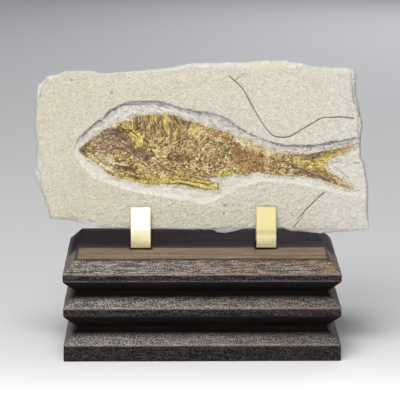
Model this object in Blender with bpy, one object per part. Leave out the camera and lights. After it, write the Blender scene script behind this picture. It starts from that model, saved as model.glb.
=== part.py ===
"""A fossil fish in its stone slab, standing in two brass holders on a moulded wooden base.

Sizes are in millimetres until a mesh is made, and every object is then in metres. +Z is up, the worked
face of the slab looks towards -Y, and the origin is the middle of the underside of the base.

The slab and the fish are drawn in the slab's own plane: u to the right, v up the slab, and w out of its
face. The slab leans back, so that plane is tilted when the meshes are made.
"""

import math

import bmesh
import bpy
import numpy as np
from mathutils import Vector, noise
from mathutils.geometry import delaunay_2d_cdt

MM = 0.001
GAP = 0.3  # left between two pieces that touch

# ---- Wooden base -------------------------------------------------------------------------------------
BASE_WIDTH = 131.0
BASE_DEPTH = 80.0
BASE_EDGE = 0.35  # rounding of the sawn edges
# The moulded side, bottom to top: (inset from the widest outline, height).
BASE_PROFILE = [
    (0.0, 0.0), (0.0, 7.8), (6.0, 13.8), (6.0, 15.6), (0.0, 21.4), (0.0, 25.6),
    (5.7, 31.2), (5.9, 32.4), (0.0, 38.0), (0.0, 41.9), (6.2, 48.1),
]
BASE_TOP = BASE_PROFILE[-1][1]

# ---- Stone slab --------------------------------------------------------------------------------------
SLAB_THICKNESS = 10.0
SLAB_LEAN = math.radians(12)
SLAB_FOOT_Y = -9.1
SLAB_FOOT_Z = 54.3
SLAB_OUTLINE = [
    (-73.0, 7.4), (-73.7, 10.9), (-75.4, 16.2), (-77.3, 21.0), (-78.7, 25.5), (-80.5, 28.2), (-80.4, 29.9),
    (-79.9, 31.1), (-79.4, 39.2), (-79.1, 45.0), (-80.1, 49.8), (-80.3, 54.6), (-79.6, 64.2), (-79.3, 69.2),
    (-78.6, 71.8), (-75.8, 74.0), (-74.0, 76.5), (-69.3, 77.1), (-65.2, 78.8), (-57.6, 79.0), (-51.2, 78.6),
    (-47.5, 77.5), (-40.3, 78.0), (-35.5, 78.4), (-28.8, 79.0), (-20.2, 79.7), (-13.0, 80.4), (-7.2, 82.2),
    (-1.0, 82.6), (8.6, 82.4), (13.4, 83.0), (20.6, 82.7), (25.4, 83.4), (30.2, 83.8), (35.0, 83.4),
    (41.6, 84.0), (43.2, 82.8), (48.4, 82.5), (52.2, 80.9), (61.4, 80.4), (69.0, 80.3), (72.6, 79.7),
    (74.8, 76.2), (74.5, 69.0), (76.1, 62.3), (77.0, 57.0), (78.0, 51.4), (77.2, 48.3), (76.9, 42.6),
    (77.2, 36.5), (78.7, 34.6), (79.5, 28.2), (80.5, 23.9), (80.5, 16.2), (80.3, 11.4), (80.5, 5.6),
    (80.4, 1.8), (73.4, 1.2), (63.8, 0.6), (56.6, 0.0), (49.4, 0.8), (42.2, 1.3), (39.8, 2.4),
    (36.0, 2.4), (26.0, 2.3), (20.6, 2.3), (16.3, 1.3), (11.5, 0.3), (7.7, 0.7), (5.3, 2.0),
    (-5.8, 2.0), (-13.9, 2.2), (-24.0, 2.3), (-33.6, 2.3), (-39.4, 2.8), (-47.0, 2.7), (-51.4, 3.7),
    (-56.2, 5.1), (-63.4, 6.6),
]
SLAB_FOOT_V = 2.3  # height of the slab's bottom edge over the holders
FACE_SWELL = 0.35  # depth of the face's slow waves
FACE_SPACING = 4.2  # between the corners of its triangles
BACK_SPACING = 6.5
EDGE_BREAK = 1.3  # usual width of the broken edge round the face
EDGE_DROP = 2.4  # how far that edge falls back
# Places where more of the edge is broken away: (u, v, reach, extra width).
EDGE_CHIPS = [
    (-78.0, 73.0, 7.0, 3.4), (-79.5, 33.0, 9.0, 1.6), (4.0, 82.0, 22.0, 1.6), (34.0, 83.0, 16.0, 2.6),
    (62.0, 80.0, 12.0, 1.4), (74.0, 72.0, 9.0, 1.3), (12.0, 1.0, 6.0, 1.2), (-54.0, 5.0, 7.0, 1.0),
]
# The shallow trench that was cut round the fish: its upper edge on the face, and the edge of its floor.
# Both run out past the right side of the slab.
FLOOR_DEPTH = 1.5
TRENCH_EDGE = [
    (84.0, 47.9), (76.3, 46.7), (68.6, 45.2), (59.0, 43.8), (56.6, 42.6), (47.0, 42.6), (39.8, 42.6),
    (35.0, 44.0), (27.8, 45.9), (20.6, 49.5), (16.3, 52.2), (12.5, 55.8), (6.2, 58.2), (-1.0, 59.1),
    (-10.6, 60.6), (-15.4, 62.7), (-21.1, 63.9), (-29.8, 63.9), (-37.0, 63.0), (-42.7, 60.6), (-46.6, 57.2),
    (-49.0, 55.1), (-53.8, 51.5), (-58.6, 46.9), (-61.0, 44.5), (-62.9, 40.9), (-61.0, 36.8), (-58.6, 33.9),
    (-54.7, 29.6), (-51.8, 26.3), (-49.0, 25.8), (-39.4, 22.2), (-32.2, 20.0), (-22.6, 18.6), (-14.4, 16.7),
    (-5.8, 15.9), (-3.4, 14.7), (1.4, 13.8), (5.8, 15.0), (11.0, 18.1), (15.8, 21.0), (23.0, 23.6),
    (30.2, 25.3), (39.8, 24.8), (49.4, 22.9), (59.0, 20.7), (68.6, 18.6), (76.3, 17.9), (84.0, 17.6),
]
TRENCH_FLOOR = [
    (84.0, 46.4), (76.3, 45.2), (68.6, 43.6), (63.8, 42.6), (57.6, 41.3), (49.4, 40.6), (42.2, 40.8),
    (37.4, 41.4), (32.6, 42.8), (27.8, 45.0), (20.6, 47.9), (15.8, 50.3), (11.0, 53.9), (6.2, 55.1),
    (-1.0, 55.8), (-5.8, 57.5), (-10.6, 59.2), (-15.4, 60.6), (-20.2, 61.9), (-29.8, 62.2), (-37.0, 61.3),
    (-43.2, 57.2), (-49.0, 52.2), (-51.4, 50.3), (-53.8, 48.6), (-56.2, 45.9), (-58.6, 43.8), (-60.0, 41.9),
    (-61.2, 40.3), (-60.5, 38.3), (-58.6, 36.1), (-54.2, 32.5), (-50.4, 29.4), (-47.0, 27.0), (-39.4, 23.9),
    (-32.2, 21.9), (-25.0, 21.0), (-14.4, 19.5), (-5.8, 18.6), (1.4, 16.9), (8.6, 18.6), (12.0, 21.0),
    (15.8, 23.9), (23.0, 25.8), (30.2, 26.6), (39.8, 25.9), (49.4, 24.8), (59.0, 22.7), (68.6, 20.1),
    (76.3, 19.1), (84.0, 19.1),
]
CRACK_DEPTH = 0.55
CRACK_HALF_WIDTH = 0.4
CRACKS = [
    [
        (13.4, 75.9), (18.2, 71.6), (20.6, 69.0), (23.0, 64.2), (26.4, 57.9), (30.2, 51.7), (33.1, 48.1),
        (36.0, 46.4), (42.2, 46.4), (46.1, 48.8), (50.9, 51.7), (53.8, 53.4), (58.1, 56.1), (62.4, 55.8),
        (66.2, 56.2), (73.0, 55.4),
    ],
    [(16.3, 73.8), (18.2, 75.2), (21.1, 76.9)],
    [(59.0, 20.0), (56.2, 17.6), (51.8, 13.3), (49.4, 11.0), (46.1, 7.3)],
    [(49.0, 10.2), (48.5, 8.0), (45.6, 4.9), (44.2, 3.0)],
]
PITS = [(11.0, 13.8, 0.8), (10.6, 9.9, 0.7), (-43.0, 68.0, 0.7), (-62.4, 74.0, 0.8), (33.0, 12.0, 0.7)]
PIT_DEPTH = 0.5
BACK_LEDGE = 1.3  # step where a layer has split off the back
BACK_LEDGE_WIDTH = 1.5
BACK_LEDGE_LINE = [(-62.0, -5.0), (-50.0, 14.0), (-30.0, 20.0), (-14.0, 36.0), (2.0, 58.0), (22.0, 90.0)]

# ---- Fossil fish -------------------------------------------------------------------------------------
FISH_OUTLINE = [
    (-59.5, 40.4), (-58.6, 41.9), (-55.7, 44.7), (-52.3, 47.3), (-49.0, 49.1), (-47.5, 50.7), (-44.2, 51.7),
    (-41.3, 54.1), (-37.0, 55.1), (-34.1, 56.7), (-29.8, 57.7), (-25.0, 58.2), (-17.8, 58.4), (-13.0, 57.9),
    (-6.7, 55.5), (-2.4, 54.3), (4.8, 51.7), (13.4, 49.3), (17.3, 47.4), (22.1, 45.5), (27.8, 43.5),
    (32.6, 41.2), (37.4, 39.8), (42.2, 39.1), (47.0, 38.9), (51.8, 39.2), (56.6, 40.2), (61.4, 40.9),
    (66.2, 42.1), (71.0, 43.2), (75.6, 43.8), (73.4, 41.6), (71.0, 39.9), (68.6, 38.0), (61.4, 34.7),
    (59.8, 32.5), (61.4, 30.6), (66.2, 27.7), (71.0, 24.3), (75.8, 21.2), (73.4, 20.6), (68.6, 21.7),
    (63.8, 23.1), (56.6, 25.5), (49.4, 27.0), (42.2, 27.2), (32.6, 27.9), (25.4, 29.1), (21.6, 27.5),
    (15.8, 28.4), (11.0, 27.0), (4.8, 26.5), (6.2, 25.5), (9.1, 25.3), (9.1, 20.7), (1.4, 20.5),
    (-3.4, 21.2), (-8.2, 22.9), (-15.4, 23.4), (-25.0, 23.1), (-29.8, 24.1), (-37.4, 25.8), (-45.1, 28.2),
    (-48.0, 31.3), (-52.8, 34.9), (-56.2, 36.8), (-58.6, 39.0),
]
FISH_EDGE = 0.35  # thickness at the rim and of the fins
FISH_SWELL = 0.65  # how much thicker the middle of the body is
FISH_SHOULDER = 5.0  # distance from the rim over which the body swells
BACKBONE = [
    (-33.0, 45.6), (-20.2, 44.5), (-1.0, 41.6), (18.2, 37.8), (32.6, 35.1), (47.0, 33.6), (55.0, 32.8),
]
BACKBONE_RISE = 0.3
BACKBONE_HALF_WIDTH = 1.1
VERTEBRA_PITCH = 2.6
SKIN_SPACING = 1.9  # between the corners of the skin's triangles
SKIN_GRAIN = 0.09
BONE_RISE = 0.22  # ribs, spines and fin rays
BONE_STEP = 2.2  # distance between the points along a bone
RIB_LEAN = math.radians(27)  # spines and ribs slope back this far from square to the backbone
HEAD_PLATES = [  # raised rims of the skull, the gill cover, the cheek and the jaw
    [(-47.6, 49.6), (-43.6, 49.9), (-39.6, 48.2), (-36.0, 45.4), (-34.4, 43.8)],
    [(-38.2, 52.6), (-34.9, 48.8), (-33.4, 43.5), (-33.6, 37.6), (-36.4, 32.0), (-40.6, 28.6)],
    [(-42.0, 47.6), (-41.2, 42.0), (-42.4, 36.6), (-45.8, 32.4)],
    [(-58.2, 40.0), (-53.6, 38.6), (-49.4, 36.4), (-46.6, 34.6)],
]
EYE = (-49.6, 43.6, 2.5)
TAIL_ROOT = (55.5, 32.8)
TAIL_FAN = [  # where the rays of the tail end
    (74.6, 43.3), (71.8, 42.2), (69.8, 40.2), (66.4, 38.3), (62.8, 36.3), (60.0, 34.2),
    (60.0, 31.0), (63.0, 28.6), (66.4, 26.3), (70.0, 23.6), (74.4, 21.3), (69.4, 22.3),
]
BELLY_FIN_ROOT = (-10.5, 25.2)
BELLY_FIN_FAN = [(8.2, 24.4), (8.4, 23.0), (8.4, 21.6), (4.6, 21.1), (0.6, 21.0)]

# ---- Brass holders -----------------------------------------------------------------------------------
HOLDER_PLACES = {"brass_holder_left": -29.1, "brass_holder_right": 30.9}
STRIP_WIDTH = 9.5
STRIP_THICKNESS = 1.6
STRIP_EDGE = 0.22
HOLDER_FRONT_Y = -13.5  # outer face of the upright front plate
HOLDER_FOLD_Z = 57.3  # where the front plate turns into the lip
LIP_LENGTH = 11.1
LIP_LEAN = math.radians(25)
REST_HEIGHT = 46.0  # how far up the slab's back the rear strip reaches, along the slab


# ---- Objects and materials ---------------------------------------------------------------------------
def clear_scene():
    for old in list(bpy.data.objects):
        bpy.data.objects.remove(old, do_unlink=True)


def make_material(name, color, roughness, metallic=0.0):
    material = bpy.data.materials.new(name)
    material.use_nodes = True
    shader = material.node_tree.nodes["Principled BSDF"]
    shader.inputs["Base Color"].default_value = (*color, 1.0)
    shader.inputs["Roughness"].default_value = roughness
    shader.inputs["Metallic"].default_value = metallic
    material.diffuse_color = (*color, 1.0)
    return material


def add_object(name, mesh, material):
    piece = bpy.data.objects.new(name, mesh)
    piece.data.materials.append(material)
    bpy.context.scene.collection.objects.link(piece)
    return piece


def mesh_of(name, points, faces):
    """A mesh in metres from points in millimetres, with shared corners joined and faces turned out."""
    mesh = bpy.data.meshes.new(name)
    shape = bmesh.new()
    corners = [shape.verts.new(Vector(point) * MM) for point in points]
    for face in faces:
        shape.faces.new([corners[i] for i in face])
    bmesh.ops.remove_doubles(shape, verts=shape.verts, dist=0.002 * MM)
    bmesh.ops.recalc_face_normals(shape, faces=shape.faces)
    shape.to_mesh(mesh)
    shape.free()
    return mesh


def soften(piece, width):
    bevel = piece.modifiers.new("softened edges", "BEVEL")
    bevel.width = width * MM
    bevel.segments = 2
    bevel.limit_method = "ANGLE"
    bevel.angle_limit = math.radians(12)


# ---- Plane geometry ----------------------------------------------------------------------------------
def smooth(value, low, high):
    part = np.clip((np.asarray(value, float) - low) / (high - low), 0.0, 1.0)
    return part * part * (3.0 - 2.0 * part)


def distance_to(points, line, closed=False):
    """Distance from each point to the nearest place on a line of straight stretches."""
    points = np.asarray(points, float)[:, None, :]
    starts = np.asarray(line, float)
    ends = np.roll(starts, -1, axis=0)
    if not closed:
        starts, ends = starts[:-1], ends[:-1]
    run = ends - starts
    along = ((points - starts) * run).sum(2) / (run * run).sum(1)
    nearest = starts + np.clip(along, 0.0, 1.0)[..., None] * run
    return np.linalg.norm(points - nearest, axis=2).min(axis=1)


def is_inside(points, outline):
    points = np.asarray(points, float)
    starts = np.asarray(outline, float)
    ends = np.roll(starts, -1, axis=0)
    x, y = points[:, :1], points[:, 1:]
    spans = (starts[:, 1] > y) != (ends[:, 1] > y)
    rise = np.where(ends[:, 1] == starts[:, 1], 1.0, ends[:, 1] - starts[:, 1])
    crossing = starts[:, 0] + (y - starts[:, 1]) * (ends[:, 0] - starts[:, 0]) / rise
    return (spans & (x < crossing)).sum(axis=1) % 2 == 1


def waves(points, size, seed):
    """Smooth noise from -1 to 1 whose bumps are about one size across."""
    return np.array([noise.noise(Vector((u / size, v / size, seed))) for u, v in points])


def beside(line, offset):
    """The same line moved sideways."""
    line = np.asarray(line, float)
    run = np.gradient(line, axis=0)
    across = np.stack([-run[:, 1], run[:, 0]], axis=1) / np.linalg.norm(run, axis=1)[:, None]
    return line + across * offset


def along(line, step):
    """Points at even steps along a line of straight stretches."""
    line = np.asarray(line, float)
    lengths = np.concatenate([[0.0], np.cumsum(np.linalg.norm(np.diff(line, axis=0), axis=1))])
    count = max(2, round(lengths[-1] / step) + 1)
    places = np.linspace(0.0, lengths[-1], count)
    return np.stack([np.interp(places, lengths, line[:, k]) for k in range(2)], axis=1)


def grid_points(outline, spacing):
    """Staggered rows of points over an outline's box."""
    low, high = np.min(outline, axis=0), np.max(outline, axis=0)
    rows = np.arange(low[1], high[1], spacing * 0.87)
    columns = np.arange(low[0], high[0], spacing)
    return np.array([(u + (k % 2) * spacing / 2, v) for k, v in enumerate(rows) for u in columns])


def triangulate(outline, lines, loose):
    """Triangles that fill the outline, with every line kept as edges and every loose point as a corner."""
    corners = [tuple(p) for p in outline]
    edges = []
    for line in lines:
        first = len(corners)
        corners += [tuple(p) for p in line]
        edges += [(i, i + 1) for i in range(first, len(corners) - 1)]
    corners += [tuple(p) for p in loose]
    border = list(range(len(outline)))
    made = delaunay_2d_cdt([Vector(p) for p in corners], edges, [border], 1, 1e-4)
    faces = np.array([tuple(face) for face in made[2]])
    used, faces = np.unique(faces, return_inverse=True)
    points = np.array([tuple(made[0][i]) for i in used])
    return points, faces.reshape(-1, 3)


def border_of(faces):
    """The corners round the rim of a patch of triangles, in order."""
    sides = {(a, b) for face in faces for a, b in zip(face, np.roll(face, -1))}
    following = {a: b for a, b in sides if (b, a) not in sides}
    loop = [min(following)]
    while following[loop[-1]] != loop[0]:
        loop.append(following[loop[-1]])
    return loop


def inward(outline):
    """Unit directions into an outline that runs round it with the inside on the left."""
    outline = np.asarray(outline, float)
    run = np.roll(outline, -1, axis=0) - np.roll(outline, 1, axis=0)
    return np.stack([-run[:, 1], run[:, 0]], axis=1) / np.linalg.norm(run, axis=1)[:, None]


def with_depth(points, depth):
    return np.column_stack([points, depth])


def on_slab(points):
    """From the slab's own (u, v, w) to the object's (x, y, z)."""
    u, v, w = np.asarray(points, float).T
    lean_in, lean_up = math.sin(SLAB_LEAN), math.cos(SLAB_LEAN)
    y = SLAB_FOOT_Y + v * lean_in - w * lean_up
    z = SLAB_FOOT_Z + v * lean_up + w * lean_in
    return np.stack([u, y, z], axis=1)


# ---- Stone slab --------------------------------------------------------------------------------------
def face_level(points):
    """The natural face: slow waves, and a lower layer that shows under the tail at the right."""
    u, v = points.T
    swell = FACE_SWELL * (0.5 + 0.5 * waves(points, 24.0, 3.0))
    lower_layer = 1.1 * smooth(u, 40.0, 62.0) * smooth(v, 6.0, 20.0) * (v < 35.0)
    return -swell - lower_layer


def break_width(points):
    width = np.full(len(points), EDGE_BREAK)
    for u, v, reach, extra in EDGE_CHIPS:
        width += extra * np.exp(-(((points - (u, v)) / reach) ** 2).sum(axis=1))
    return width


def front_level(points):
    """The whole worked side: the face, the trench, the broken edge, the cracks and the pits."""
    level = face_level(points)
    to_edge = distance_to(points, TRENCH_EDGE)
    to_floor = np.where(is_inside(points, TRENCH_FLOOR), 0.0, distance_to(points, TRENCH_FLOOR))
    sunk = np.where(is_inside(points, TRENCH_EDGE), to_edge / (to_edge + to_floor + 1e-6), 0.0)
    level += (-FLOOR_DEPTH - level) * sunk
    to_side = distance_to(points, SLAB_OUTLINE, closed=True)
    level -= EDGE_DROP * np.clip(1.0 - to_side / break_width(points), 0.0, 1.0) ** 1.4
    for line in CRACKS:
        level -= CRACK_DEPTH * np.clip(1.0 - distance_to(points, line) / CRACK_HALF_WIDTH, 0.0, 1.0)
    for u, v, radius in PITS:
        away = np.hypot(points[:, 0] - u, points[:, 1] - v)
        level -= PIT_DEPTH * np.clip(1.0 - away / radius, 0.0, 1.0)
    return level


def back_level(points):
    """The split back of the slab, never further back than its thickness."""
    rough = 0.35 + 0.3 * waves(points, 13.0, 8.0)
    beyond = is_inside(points, [*BACK_LEDGE_LINE, (-90.0, 90.0), (-90.0, -5.0)])
    step = BACK_LEDGE * np.where(beyond, smooth(distance_to(points, BACK_LEDGE_LINE), 0.0, BACK_LEDGE_WIDTH), 0.0)
    return np.minimum(rough + step, 3.0) - SLAB_THICKNESS


def away_from(points, lines, room):
    for line in lines:
        points = points[distance_to(points, line) > room]
    return points


def slab_rings(rim):
    """The rough sides, as rings of the rim's own corners at growing depth."""
    into = inward(rim)
    rings = []
    for share, inset, seed in ((0.45, 0.5, 11.0), (0.72, 0.7, 15.0), (1.0, 1.3, 19.0)):
        rough = inset * (1.0 + 0.9 * waves(rim, 5.0, seed))
        ring = rim + into * rough[:, None]
        depth = back_level(ring) if share == 1.0 else np.full(len(rim), -SLAB_THICKNESS * share)
        rings.append(with_depth(ring, depth))
    return rings


def ringed(u, v, radius, count=6):
    turns = np.arange(count) * 2.0 * math.pi / count
    return np.stack([u + radius * np.cos(turns), v + radius * np.sin(turns)], axis=1)


def closed(outline):
    return np.vstack([outline, outline[:1]])


def slab_front():
    outline = np.array(SLAB_OUTLINE)[::-1]
    face_edge = outline + inward(outline) * break_width(outline)[:, None]
    lines = [np.array(TRENCH_EDGE), np.array(TRENCH_FLOOR), closed(face_edge)]
    for crack in CRACKS:
        lines += [beside(crack, side * CRACK_HALF_WIDTH) for side in (-1, 0, 1)]
    loose = grid_points(outline, FACE_SPACING)
    loose = loose[is_inside(loose, outline)]
    loose = away_from(loose, [*lines, closed(outline)], 1.3)
    for u, v, radius in PITS:
        loose = np.vstack([loose, [(u, v)], ringed(u, v, radius)])
    return triangulate(outline, lines, loose)


def slab_back(rim):
    loose = grid_points(rim, BACK_SPACING)
    loose = loose[is_inside(loose, rim)]
    loose = away_from(loose, [BACK_LEDGE_LINE, closed(rim)], 2.0)
    ledge = along(BACK_LEDGE_LINE, 5.0)
    ledge = ledge[is_inside(ledge, rim) & (distance_to(ledge, closed(rim)) > 2.0)]
    return triangulate(rim, [ledge, beside(ledge, BACK_LEDGE_WIDTH)], loose)


def close_solid(name, front, front_faces, rings, back, back_faces):
    """One closed mesh from a front patch, rings down its sides and a back patch."""
    points = [*front]
    faces = [tuple(face) for face in front_faces]
    for upper, lower in zip(rings, rings[1:]):
        first = len(points)
        count = len(upper)
        points += [*upper, *lower]
        for i in range(count):
            j = (i + 1) % count
            a, b, c, d = first + i, first + j, first + count + j, first + count + i
            faces += [(b, a, d), (b, d, c)]
    first = len(points)
    points += [*back]
    faces += [tuple(first + i for i in reversed(face)) for face in back_faces]
    return mesh_of(name, on_slab(points), faces)


def make_slab():
    front, front_faces = slab_front()
    rim = front[border_of(front_faces)]
    rings = [with_depth(rim, front_level(rim)), *slab_rings(rim)]
    back, back_faces = slab_back(rings[-1][:, :2])
    front = with_depth(front, front_level(front))
    back = with_depth(back, back_level(back))
    mesh = close_solid("stone_slab", front, front_faces, rings, back, back_faces)
    add_object("stone_slab", mesh, make_material("stone", (0.68, 0.63, 0.51), 0.9))


# ---- Fossil fish -------------------------------------------------------------------------------------
def fanned(root, ends):
    """Fin rays: the ridges from the root to each end, and the hollows between them."""
    ridges = [along([root, end], BONE_STEP)[1:-1] for end in ends]
    ridges = [ridge for ridge in ridges if len(ridge) > 1]
    halfway = [((a[0] + b[0]) / 2, (a[1] + b[1]) / 2) for a, b in zip(ends, ends[1:])]
    hollows = [along([root, end], BONE_STEP)[2:-1] for end in halfway]
    return ridges, [hollow for hollow in hollows if len(hollow) > 1]


def bone_from(foot, heading):
    """A rib or spine from the backbone towards the rim of the fish, where it ends."""
    steps = np.arange(0.6, 12.0) * BONE_STEP
    bone = np.asarray(foot) + steps[:, None] * heading
    clear = is_inside(bone, FISH_OUTLINE) & (distance_to(bone, FISH_OUTLINE, closed=True) > 0.7)
    first_out = len(bone) if clear.all() else int(np.argmin(clear))
    return bone[:first_out]


def ribs():
    """The ridges of ribs and spines on both sides of the backbone, and the hollows between them."""
    ridges, hollows = [], []
    feet = along(BACKBONE, VERTEBRA_PITCH / 2)
    run = np.gradient(feet, axis=0)
    for i, (foot, ahead) in enumerate(zip(feet, run / np.linalg.norm(run, axis=1)[:, None])):
        square = np.array([-ahead[1], ahead[0]])
        for side in (1, -1):
            heading = ahead * math.sin(RIB_LEAN) + square * side * math.cos(RIB_LEAN)
            bone = bone_from(foot, heading)
            if len(bone) > 1:
                (hollows if i % 2 else ridges).append(bone)
    return ridges, hollows


def fish_bones():
    rib_ridges, rib_hollows = ribs()
    tail_ridges, tail_hollows = fanned(TAIL_ROOT, TAIL_FAN)
    fin_ridges, fin_hollows = fanned(BELLY_FIN_ROOT, BELLY_FIN_FAN)
    plates = [along(plate, BONE_STEP) for plate in HEAD_PLATES]
    eye_rim = closed(ringed(*EYE, count=8))
    ridges = rib_ridges + tail_ridges + fin_ridges + plates + [eye_rim]
    return ridges, rib_hollows + tail_hollows + fin_hollows


def fish_level(points, ridges):
    """The upper side of the fish: a swollen body, a beaded backbone, bones and a granular skin."""
    to_rim = distance_to(points, FISH_OUTLINE, closed=True)
    body = 1.0 - smooth(points[:, 0], 46.0, 60.0)
    swell = FISH_SWELL * body * np.sqrt(smooth(to_rim, 0.0, FISH_SHOULDER))
    to_bone = np.min([distance_to(points, ridge) for ridge in ridges], axis=0)
    bones = BONE_RISE * np.clip(1.0 - to_bone / 0.9, 0.0, 1.0) * smooth(to_rim, 0.0, 0.8)
    beads = 0.75 + 0.25 * np.cos(2.0 * math.pi * points[:, 0] / VERTEBRA_PITCH)
    to_backbone = distance_to(points, BACKBONE)
    backbone = BACKBONE_RISE * beads * np.clip(1.0 - to_backbone / BACKBONE_HALF_WIDTH, 0.0, 1.0)
    skin = SKIN_GRAIN * waves(points, 2.3, 5.0) * smooth(to_rim, 0.0, 2.0)
    return GAP - FLOOR_DEPTH + FISH_EDGE + swell + np.maximum(bones, backbone) + skin


def make_fish():
    outline = np.array(FISH_OUTLINE)[::-1]
    ridges, hollows = fish_bones()
    backbone = along(BACKBONE, VERTEBRA_PITCH / 2)
    loose = grid_points(outline, SKIN_SPACING)
    loose = loose[is_inside(loose, outline)]
    loose = away_from(loose, [*ridges, *hollows, backbone, closed(outline)], 0.9)
    front, front_faces = triangulate(outline, [*ridges, *hollows, backbone], loose)
    rim = front[border_of(front_faces)]
    underside = np.full(len(rim), GAP - FLOOR_DEPTH)
    rings = [with_depth(rim, fish_level(rim, ridges)), with_depth(rim, underside)]
    back, back_faces = triangulate(rim, [], np.empty((0, 2)))
    front = with_depth(front, fish_level(front, ridges))
    back = with_depth(back, np.full(len(back), GAP - FLOOR_DEPTH))
    mesh = close_solid("fossil_fish", front, front_faces, rings, back, back_faces)
    add_object("fossil_fish", mesh, make_material("bone", (0.26, 0.17, 0.06), 0.7))


# ---- Wooden base -------------------------------------------------------------------------------------
def make_base():
    """A block with a stepped and grooved side, the same all round and mitred at the corners."""
    mesh = bpy.data.meshes.new("wooden_base")
    shape = bmesh.new()
    rings = []
    for inset, height in BASE_PROFILE:
        x, y = BASE_WIDTH / 2 - inset, BASE_DEPTH / 2 - inset
        corners = [(-x, -y), (x, -y), (x, y), (-x, y)]
        rings.append([shape.verts.new((a * MM, b * MM, height * MM)) for a, b in corners])
    for lower, upper in zip(rings, rings[1:]):
        for i in range(4):
            shape.faces.new([lower[i], lower[i - 3], upper[i - 3], upper[i]])
    shape.faces.new(rings[0][::-1])
    shape.faces.new(rings[-1])
    bmesh.ops.recalc_face_normals(shape, faces=shape.faces)
    shape.to_mesh(mesh)
    shape.free()
    base = add_object("wooden_base", mesh, make_material("wood", (0.075, 0.045, 0.03), 0.55))
    soften(base, BASE_EDGE)


# ---- Brass holders -----------------------------------------------------------------------------------
def slab_line(v, w):
    """(y, z) of a place on the slab's side view."""
    return on_slab([(0.0, v, w)])[0, 1:]


def crossing(a, b, c, d):
    """Where the line through a and b meets the line through c and d."""
    (ay, az), (by, bz), (cy, cz), (dy, dz) = a, b, c, d
    turn = (by - ay) * (dz - cz) - (bz - az) * (dy - cy)
    share = ((cy - ay) * (dz - cz) - (cz - az) * (dy - cy)) / turn
    return ay + share * (by - ay), az + share * (bz - az)


def holder_profile():
    """The bent strip seen from the side, as (y, z) corners.

    The front plate stands on the wood and folds into the lip, a ledge under the slab joins it to the rear
    strip, which leans with the slab, and a short rear leg carries the ledge's back end.
    """
    floor = BASE_TOP + GAP
    inner_y = HOLDER_FRONT_Y + STRIP_THICKNESS
    fold = np.array([HOLDER_FRONT_Y, HOLDER_FOLD_Z])
    lip_run = np.array([math.sin(LIP_LEAN), math.cos(LIP_LEAN)])
    lip_in = np.array([math.cos(LIP_LEAN), -math.sin(LIP_LEAN)]) * STRIP_THICKNESS
    lip_tip = fold + lip_run * LIP_LENGTH

    ledge_v = SLAB_FOOT_V - GAP
    under_v = ledge_v - STRIP_THICKNESS
    rest_w = -SLAB_THICKNESS - GAP
    back_w = rest_w - STRIP_THICKNESS
    ledge_line = slab_line(ledge_v, 0.0), slab_line(ledge_v, 1.0)
    under_line = slab_line(under_v, 0.0), slab_line(under_v, 1.0)
    heel = slab_line(under_v, back_w)
    leg_y = heel[0] - STRIP_THICKNESS
    return [
        (HOLDER_FRONT_Y, floor),
        fold,
        lip_tip,
        lip_tip + lip_in,
        crossing(fold + lip_in, lip_tip + lip_in, *ledge_line),
        slab_line(ledge_v, rest_w),
        slab_line(REST_HEIGHT, rest_w),
        slab_line(REST_HEIGHT, back_w),
        heel,
        (heel[0], floor),
        (leg_y, floor),
        crossing((leg_y, 0.0), (leg_y, 1.0), *under_line),
        crossing((inner_y, 0.0), (inner_y, 1.0), *under_line),
        (inner_y, floor),
    ]


def make_holders():
    brass = make_material("brass", (0.80, 0.68, 0.30), 0.32, 1.0)
    half = STRIP_WIDTH / 2
    profile = holder_profile()
    count = len(profile)
    for name, middle in HOLDER_PLACES.items():
        points = [(middle + side * half, y, z) for side in (-1, 1) for y, z in profile]
        faces = [tuple(range(count)), tuple(range(2 * count - 1, count - 1, -1))]
        faces += [(i, (i + 1) % count, count + (i + 1) % count, count + i) for i in range(count)]
        soften(add_object(name, mesh_of(name, points, faces), brass), STRIP_EDGE)


def main():
    clear_scene()
    make_slab()
    make_fish()
    make_base()
    make_holders()


main()
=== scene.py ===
"""Looks of the fossil fish slab: stone, bone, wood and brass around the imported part.

Sizes are in millimetres until a mesh is made. The stone and the fish are drawn in the slab's own plane,
as in the part's source: u to the right, v up the slab and w out of its face.
"""

import math

import bpy
import numpy as np
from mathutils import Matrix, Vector, noise
from mathutils.geometry import delaunay_2d_cdt


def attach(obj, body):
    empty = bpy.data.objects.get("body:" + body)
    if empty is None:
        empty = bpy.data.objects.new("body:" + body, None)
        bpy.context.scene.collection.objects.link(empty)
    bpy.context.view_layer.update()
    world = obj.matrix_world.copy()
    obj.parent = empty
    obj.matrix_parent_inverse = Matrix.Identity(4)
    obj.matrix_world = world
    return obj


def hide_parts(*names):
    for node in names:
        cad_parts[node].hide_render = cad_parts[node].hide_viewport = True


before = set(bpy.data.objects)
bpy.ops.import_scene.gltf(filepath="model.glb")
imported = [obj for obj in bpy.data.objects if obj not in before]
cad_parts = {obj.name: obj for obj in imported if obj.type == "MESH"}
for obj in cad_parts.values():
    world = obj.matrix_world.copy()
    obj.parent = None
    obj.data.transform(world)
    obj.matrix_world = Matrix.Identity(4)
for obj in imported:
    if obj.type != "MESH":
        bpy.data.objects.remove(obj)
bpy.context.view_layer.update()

MM = 0.001
COARSER = 1.0

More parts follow.
